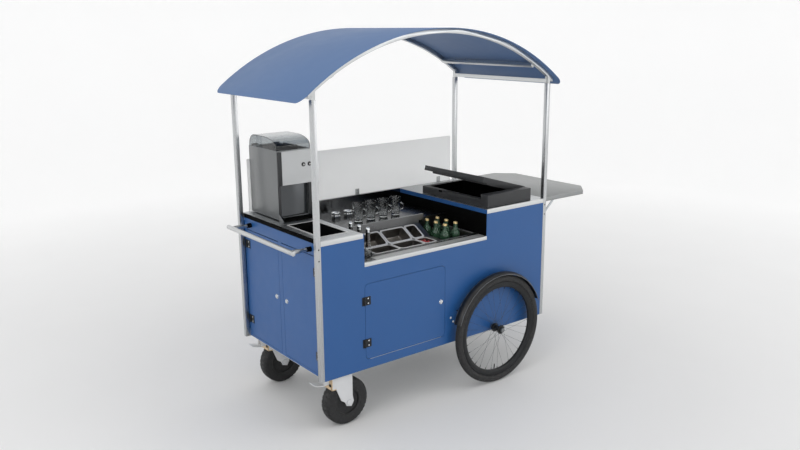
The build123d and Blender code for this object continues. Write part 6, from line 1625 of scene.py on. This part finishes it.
@dataclass
class Caster:
    """A braked swivel caster."""

    side: Side  # The side of the cart that it is on
    x: float = 137.0  # X of the swivel axis
    inset: float = 339.0  # Distance of the swivel axis from the cart's middle
    trail: float = 55.0  # Distance from the swivel axis to the axle
    radius: float = 130.0  # Radius of the wheel
    crown: float = 50.0  # Distance of the crown's front from the swivel axis
    half_width: float = 44.0  # Half the width over the fork's cheeks
    skin: float = 0.6  # How far the tan plating stands out in front
    apron_z: Point = (224.0, 249.4, 285.0)  # Heights of the apron's foot, its fold and its top
    apron_fold: float = 4.6  # Depth of the apron below its fold
    apron_lap: Pair = (0.2, 0.8)  # How far the apron sinks into the crown, and laps over its fold
    cheek: Pair = (38.8, 44.4)  # Distances of a cheek's plating from the caster's middle
    cheek_z: Pair = (222.4, 228.0)  # Heights of a cheek's lower edge and its plating's top there
    # How far the plating runs back along a cheek's lower edge, and up its front edge
    cheek_reach: Pair = (28.0, 5.0)
    # Distance of an apron bolt from the caster's middle, and its height
    apron_bolt_at: Pair = (29.0, 249.0)
    # Section of an apron bolt's head
    apron_bolt: Outline = (
        (0.0, 4.4), (5.2, 4.4), (7.0, 3.2), (7.2, 0.9), (9.4, 0.7), (9.6, -0.2), (0.0, -0.2))
    # Section of half the wheel
    wheel_half: Outline = (
        (8.3, 38.5), (24.4, 38.5), (26.0, 37.0), (26.0, 24.6), (28.0, 23.4), (64.5, 23.4), (67.2, 24.6),
        (68.0, 27.0), (68.0, 33.8), (69.6, 35.0), (79.0, 35.0), (80.4, 33.8), (82.6, 33.8), (84.0, 35.0),
        (104.0, 35.0), (112.0, 35.0), (119.0, 33.6), (124.8, 29.8), (128.6, 24.0), (130.0, 17.0),
        (130.0, 6.0))
    wheel_steps: int = 96  # Number of steps round the wheel
    notch: Pair = (0.8, 2.4)  # Gap round a shoulder notch, and its depth
    notch_from: float = 119.0  # Radius past which the shoulder has notches
    notch_band: Pair = (10.0, 33.0)  # Distances of a notch's edges from the wheel's middle plane
    notch_every: int = 3  # Steps from one notch to the next
    # Section of a hollow bolt head
    bolt: Outline = (
        (0.0, 2.2), (3.8, 2.2), (4.4, 5.6), (8.6, 5.6), (11.6, 4.2), (12.0, 1.2), (15.0, 1.0), (15.4, -0.2),
        (0.0, -0.2))

    @property
    def body(self) -> str:
        """Return the name of the caster's swivelling body."""
        return f"{self.side.word}_caster"

    @property
    def y(self) -> float:
        """Return the Y of the caster's middle."""
        return MIDDLE_Y + self.side.value * self.inset

    def build(self) -> None:
        """Build and dress the caster."""
        body, brake = self.body, f"{self.body}_brake"
        rounded(f"{body}_fork", f"{body}_legs", FORK_COAT, rounding=0.8, body=body)
        rounded(brake, f"{body}_pedal", FORK_COAT, rounding=0.8, body=brake)
        self.crown_edges()
        self.bolt_heads()
        self.wheel()
        feet = [aim((self.x + self.trail, self.y + hand * self.half_width, self.radius), (0.0, hand, 0.0))
                for hand in HANDS]
        Form().turned(self.bolt, *feet, steps=24).piece(f"{body}_bolt_heads", body, ZINC_PLATE)

    def crown_edges(self) -> None:
        """Build the tan plated apron on the crown's front and the skin on the cheeks' lower edges."""
        front = self.x - self.crown
        face = front - self.skin
        foot, fold, top = self.apron_z
        low, high = self.cheek_z
        along, up = self.cheek_reach
        sink, lap = self.apron_lap
        left, right = self.y - self.half_width, self.y + self.half_width
        form = Form().block((face, left, fold), (front + sink, right, top))
        form.block((face, left, foot), (front + self.apron_fold, right, fold + lap), rounding=0.8)
        for hand in HANDS:
            near, far = sorted(self.y + hand * reach for reach in self.cheek)
            form.block((face, near, low), (front + along, far, high), rounding=0.4)
            form.block((face, near, low), (front + up, far, top), rounding=0.4)
        form.piece(f"{self.body}_crown_edges", self.body, CROWN_ZINC)

    def bolt_heads(self) -> None:
        """Build the two dark bolt heads on the apron."""
        out, z = self.apron_bolt_at
        face = self.x - self.crown - self.skin
        places = [aim((face, self.y + hand * out, z), LEFTWARD) for hand in HANDS]
        form = Form().turned(self.apron_bolt, *places, steps=18)
        form.piece(f"{self.body}_apron_bolts", self.body, BLACK_OXIDE)

    def wheel(self) -> None:
        """Build the solid wheel with its dish, rings and shoulder notches."""
        shape = lathe(mirrored(self.wheel_half), self.wheel_steps, closed=True)
        notches = [face for face in shape.faces if self.is_notch(face.calc_center_median())]
        between, depth = self.notch
        bmesh.ops.inset_region(shape, faces=notches, thickness=between, depth=-depth, use_even_offset=True)
        form = Form().join(shape, aim((self.x + self.trail, self.y, self.radius), BACKWARD))
        wheel = f"{self.body}_wheel"
        form.piece(f"{self.body}_tyre_and_disc", wheel, CASTER_RUBBER, wheel, crease=40.0)

    def is_notch(self, at: Vector) -> bool:
        """Return whether a point of the wheel's skin lies in a shoulder notch.

        Args:
            at: The point, about the wheel's own axle.

        Returns:
            Whether it does.
        """
        step = int((math.atan2(at.y, at.x) + math.pi) / math.tau * self.wheel_steps)
        near, far = self.notch_band
        return at.xy.length > self.notch_from and near < abs(at.z) < far and step % self.notch_every == 0


@dataclass
class SideShelf:
    """Drop shelf with its folding stays."""

    rounding: float = 0.6  # Rounding of the folded edges

    def build(self) -> None:
        """Build and dress the shelf."""
        dress(ZINC_PLATE, "shelf_stay_lower", "shelf_stay_upper", "caster_plates")
        rounded("side_shelf", "shelf_tray", SHELF_STEEL, self.rounding, "side_shelf")


@dataclass(frozen=True)
class Softbox:
    """A square light, in metres."""

    name: str  # Name of the light
    at: Point  # Its place
    towards: Point  # The point that it looks at
    size: float  # Its side
    power: float  # Its power in watts

    def hang(self) -> None:
        """Hang the light in the studio."""
        lamp = bpy.data.lights.new(self.name, "AREA")
        lamp.size = self.size
        lamp.energy = self.power
        made = link(self.name, lamp)
        made.location = self.at
        made.rotation_euler = (Vector(self.towards) - Vector(self.at)).to_track_quat("-Z", "Y").to_euler()


@dataclass
class Studio:
    """Pale studio with soft light and the photograph's camera."""

    floor_radius: float = 6.0  # Radius of the flat floor in metres
    cove: float = 2.0  # Radius of the curve up to the wall in metres
    wall: float = 7.0  # Height of the wall in metres
    lens: float = 36.347  # Focal length in millimetres
    sensor: float = 36.0  # Width of the camera's sensor in millimetres
    eye: Point = (-2.98025, -3.6618, 2.0665)  # Place of the camera
    yaw: float = 37.571  # Turn of the view from the back towards the right, in degrees
    pitch: float = 13.930  # Downward tilt of the view, in degrees
    roll: float = -0.463  # Roll of the view, in degrees
    wash: float = 0.27  # Strength of the glow painted into the floor paint, painted light washing the wall
    wash_start: float = 1.6  # Distance from the middle where this painted glow starts, in metres
    surround: float = 0.62  # Strength of the white surroundings
    # The lights
    softboxes: tuple[Softbox, ...] = (
        Softbox("overhead_softbox", (-0.3, -0.6, 5.2), (0.0, 0.0, 0.6), 5.0, 60.0),
        Softbox("left_softbox", (-5.0, -2.6, 3.4), (0.0, 0.0, 0.9), 3.0, 45.0),
        Softbox("right_softbox", (3.6, -4.6, 3.2), (0.3, 0.0, 0.8), 3.0, 30.0))

    def build(self) -> None:
        """Build the studio."""
        self.camera()
        self.world()
        for softbox in self.softboxes:
            softbox.hang()
        self.backdrop()

    def backdrop(self) -> None:
        """Build the floor that curves up into the wall."""
        outline = [(0.0, 0.0)]
        for turn in quarter(8):
            rise = self.cove * (1 - math.cos(turn))
            outline.append((self.floor_radius + self.cove * math.sin(turn), rise))
        outline.append((self.floor_radius + self.cove, self.wall))
        made = link_mesh("studio_floor", lathe(outline, 96), self.lit_paint())

    def lit_paint(self) -> bpy.types.Material:
        """Paint a glow into the floor paint, painted light that grows towards the wall.

        Returns:
            The paint.
        """
        paint = STUDIO_PAINT.material()
        tree = paint.node_tree
        where = add_node(tree, "ShaderNodeTexCoord", {}).outputs["Object"]
        reach = add_node(tree, "ShaderNodeVectorMath", {0: where}, operation="LENGTH")
        glow = add_node(tree, "ShaderNodeMapRange", {
            "Value": reach.outputs["Value"], "From Min": self.wash_start, "From Max": self.floor_radius,
            "To Min": 0.0, "To Max": self.wash})
        feed(tree, tree.nodes["Principled BSDF"], {
            "Emission Color": linear("#ffffff"), "Emission Strength": glow.outputs["Result"]})
        return paint

    def world(self) -> None:
        """Light the studio evenly from its white surroundings."""
        scene = bpy.context.scene
        world = bpy.data.worlds.new("studio_white")
        world.use_nodes = True
        tree = world.node_tree
        feed(tree, tree.nodes["Background"], {"Color": linear("#ffffff"), "Strength": self.surround})
        scene.world = world
        scene.view_settings.view_transform = "Standard"

    def camera(self) -> None:
        """Set the camera to the photograph's view."""
        yaw, pitch, roll = (math.radians(angle) for angle in (self.yaw, self.pitch, self.roll))
        ahead = Vector((math.sin(yaw) * math.cos(pitch), math.cos(yaw) * math.cos(pitch), -math.sin(pitch)))
        level = Vector((math.cos(yaw), -math.sin(yaw), 0.0))
        above = level.cross(ahead)
        right = math.cos(roll) * level + math.sin(roll) * above
        up = -math.sin(roll) * level + math.cos(roll) * above
        turn = Matrix((right, up, -ahead)).transposed()
        data = bpy.data.cameras.new("photo_camera")
        data.sensor_fit = "HORIZONTAL"
        data.sensor_width = self.sensor
        data.lens = self.lens
        made = link("photo_camera", data)
        made.matrix_world = Matrix.Translation(self.eye) @ turn.to_4x4()
        bpy.context.scene.camera = made


def main() -> None:
    """Build the sub-assemblies in order and log each new piece with its number of faces."""
    logging.basicConfig(level=logging.INFO, format="%(name)s: %(message)s")
    wheels = [BigWheel(side) for side in Side]
    casters = [Caster(side) for side in Side]
    assemblies = [Studio(), Carcass(), Doors(), WorkArea(), Goods(), IceBox(), Crusher(), Backboard(),
                  Canopy(), PushBar(), *wheels, Mudguards(wheels), *casters, SideShelf()]
    for assembly in assemblies:
        known = set(bpy.data.objects)
        assembly.build()
        for piece in bpy.data.objects:
            if piece.type == "MESH" and piece not in known:
                LOG.info("%s: %s, %d faces", type(assembly).__name__, piece.name, len(piece.data.polygons))


if __name__ == "__main__":
    main()
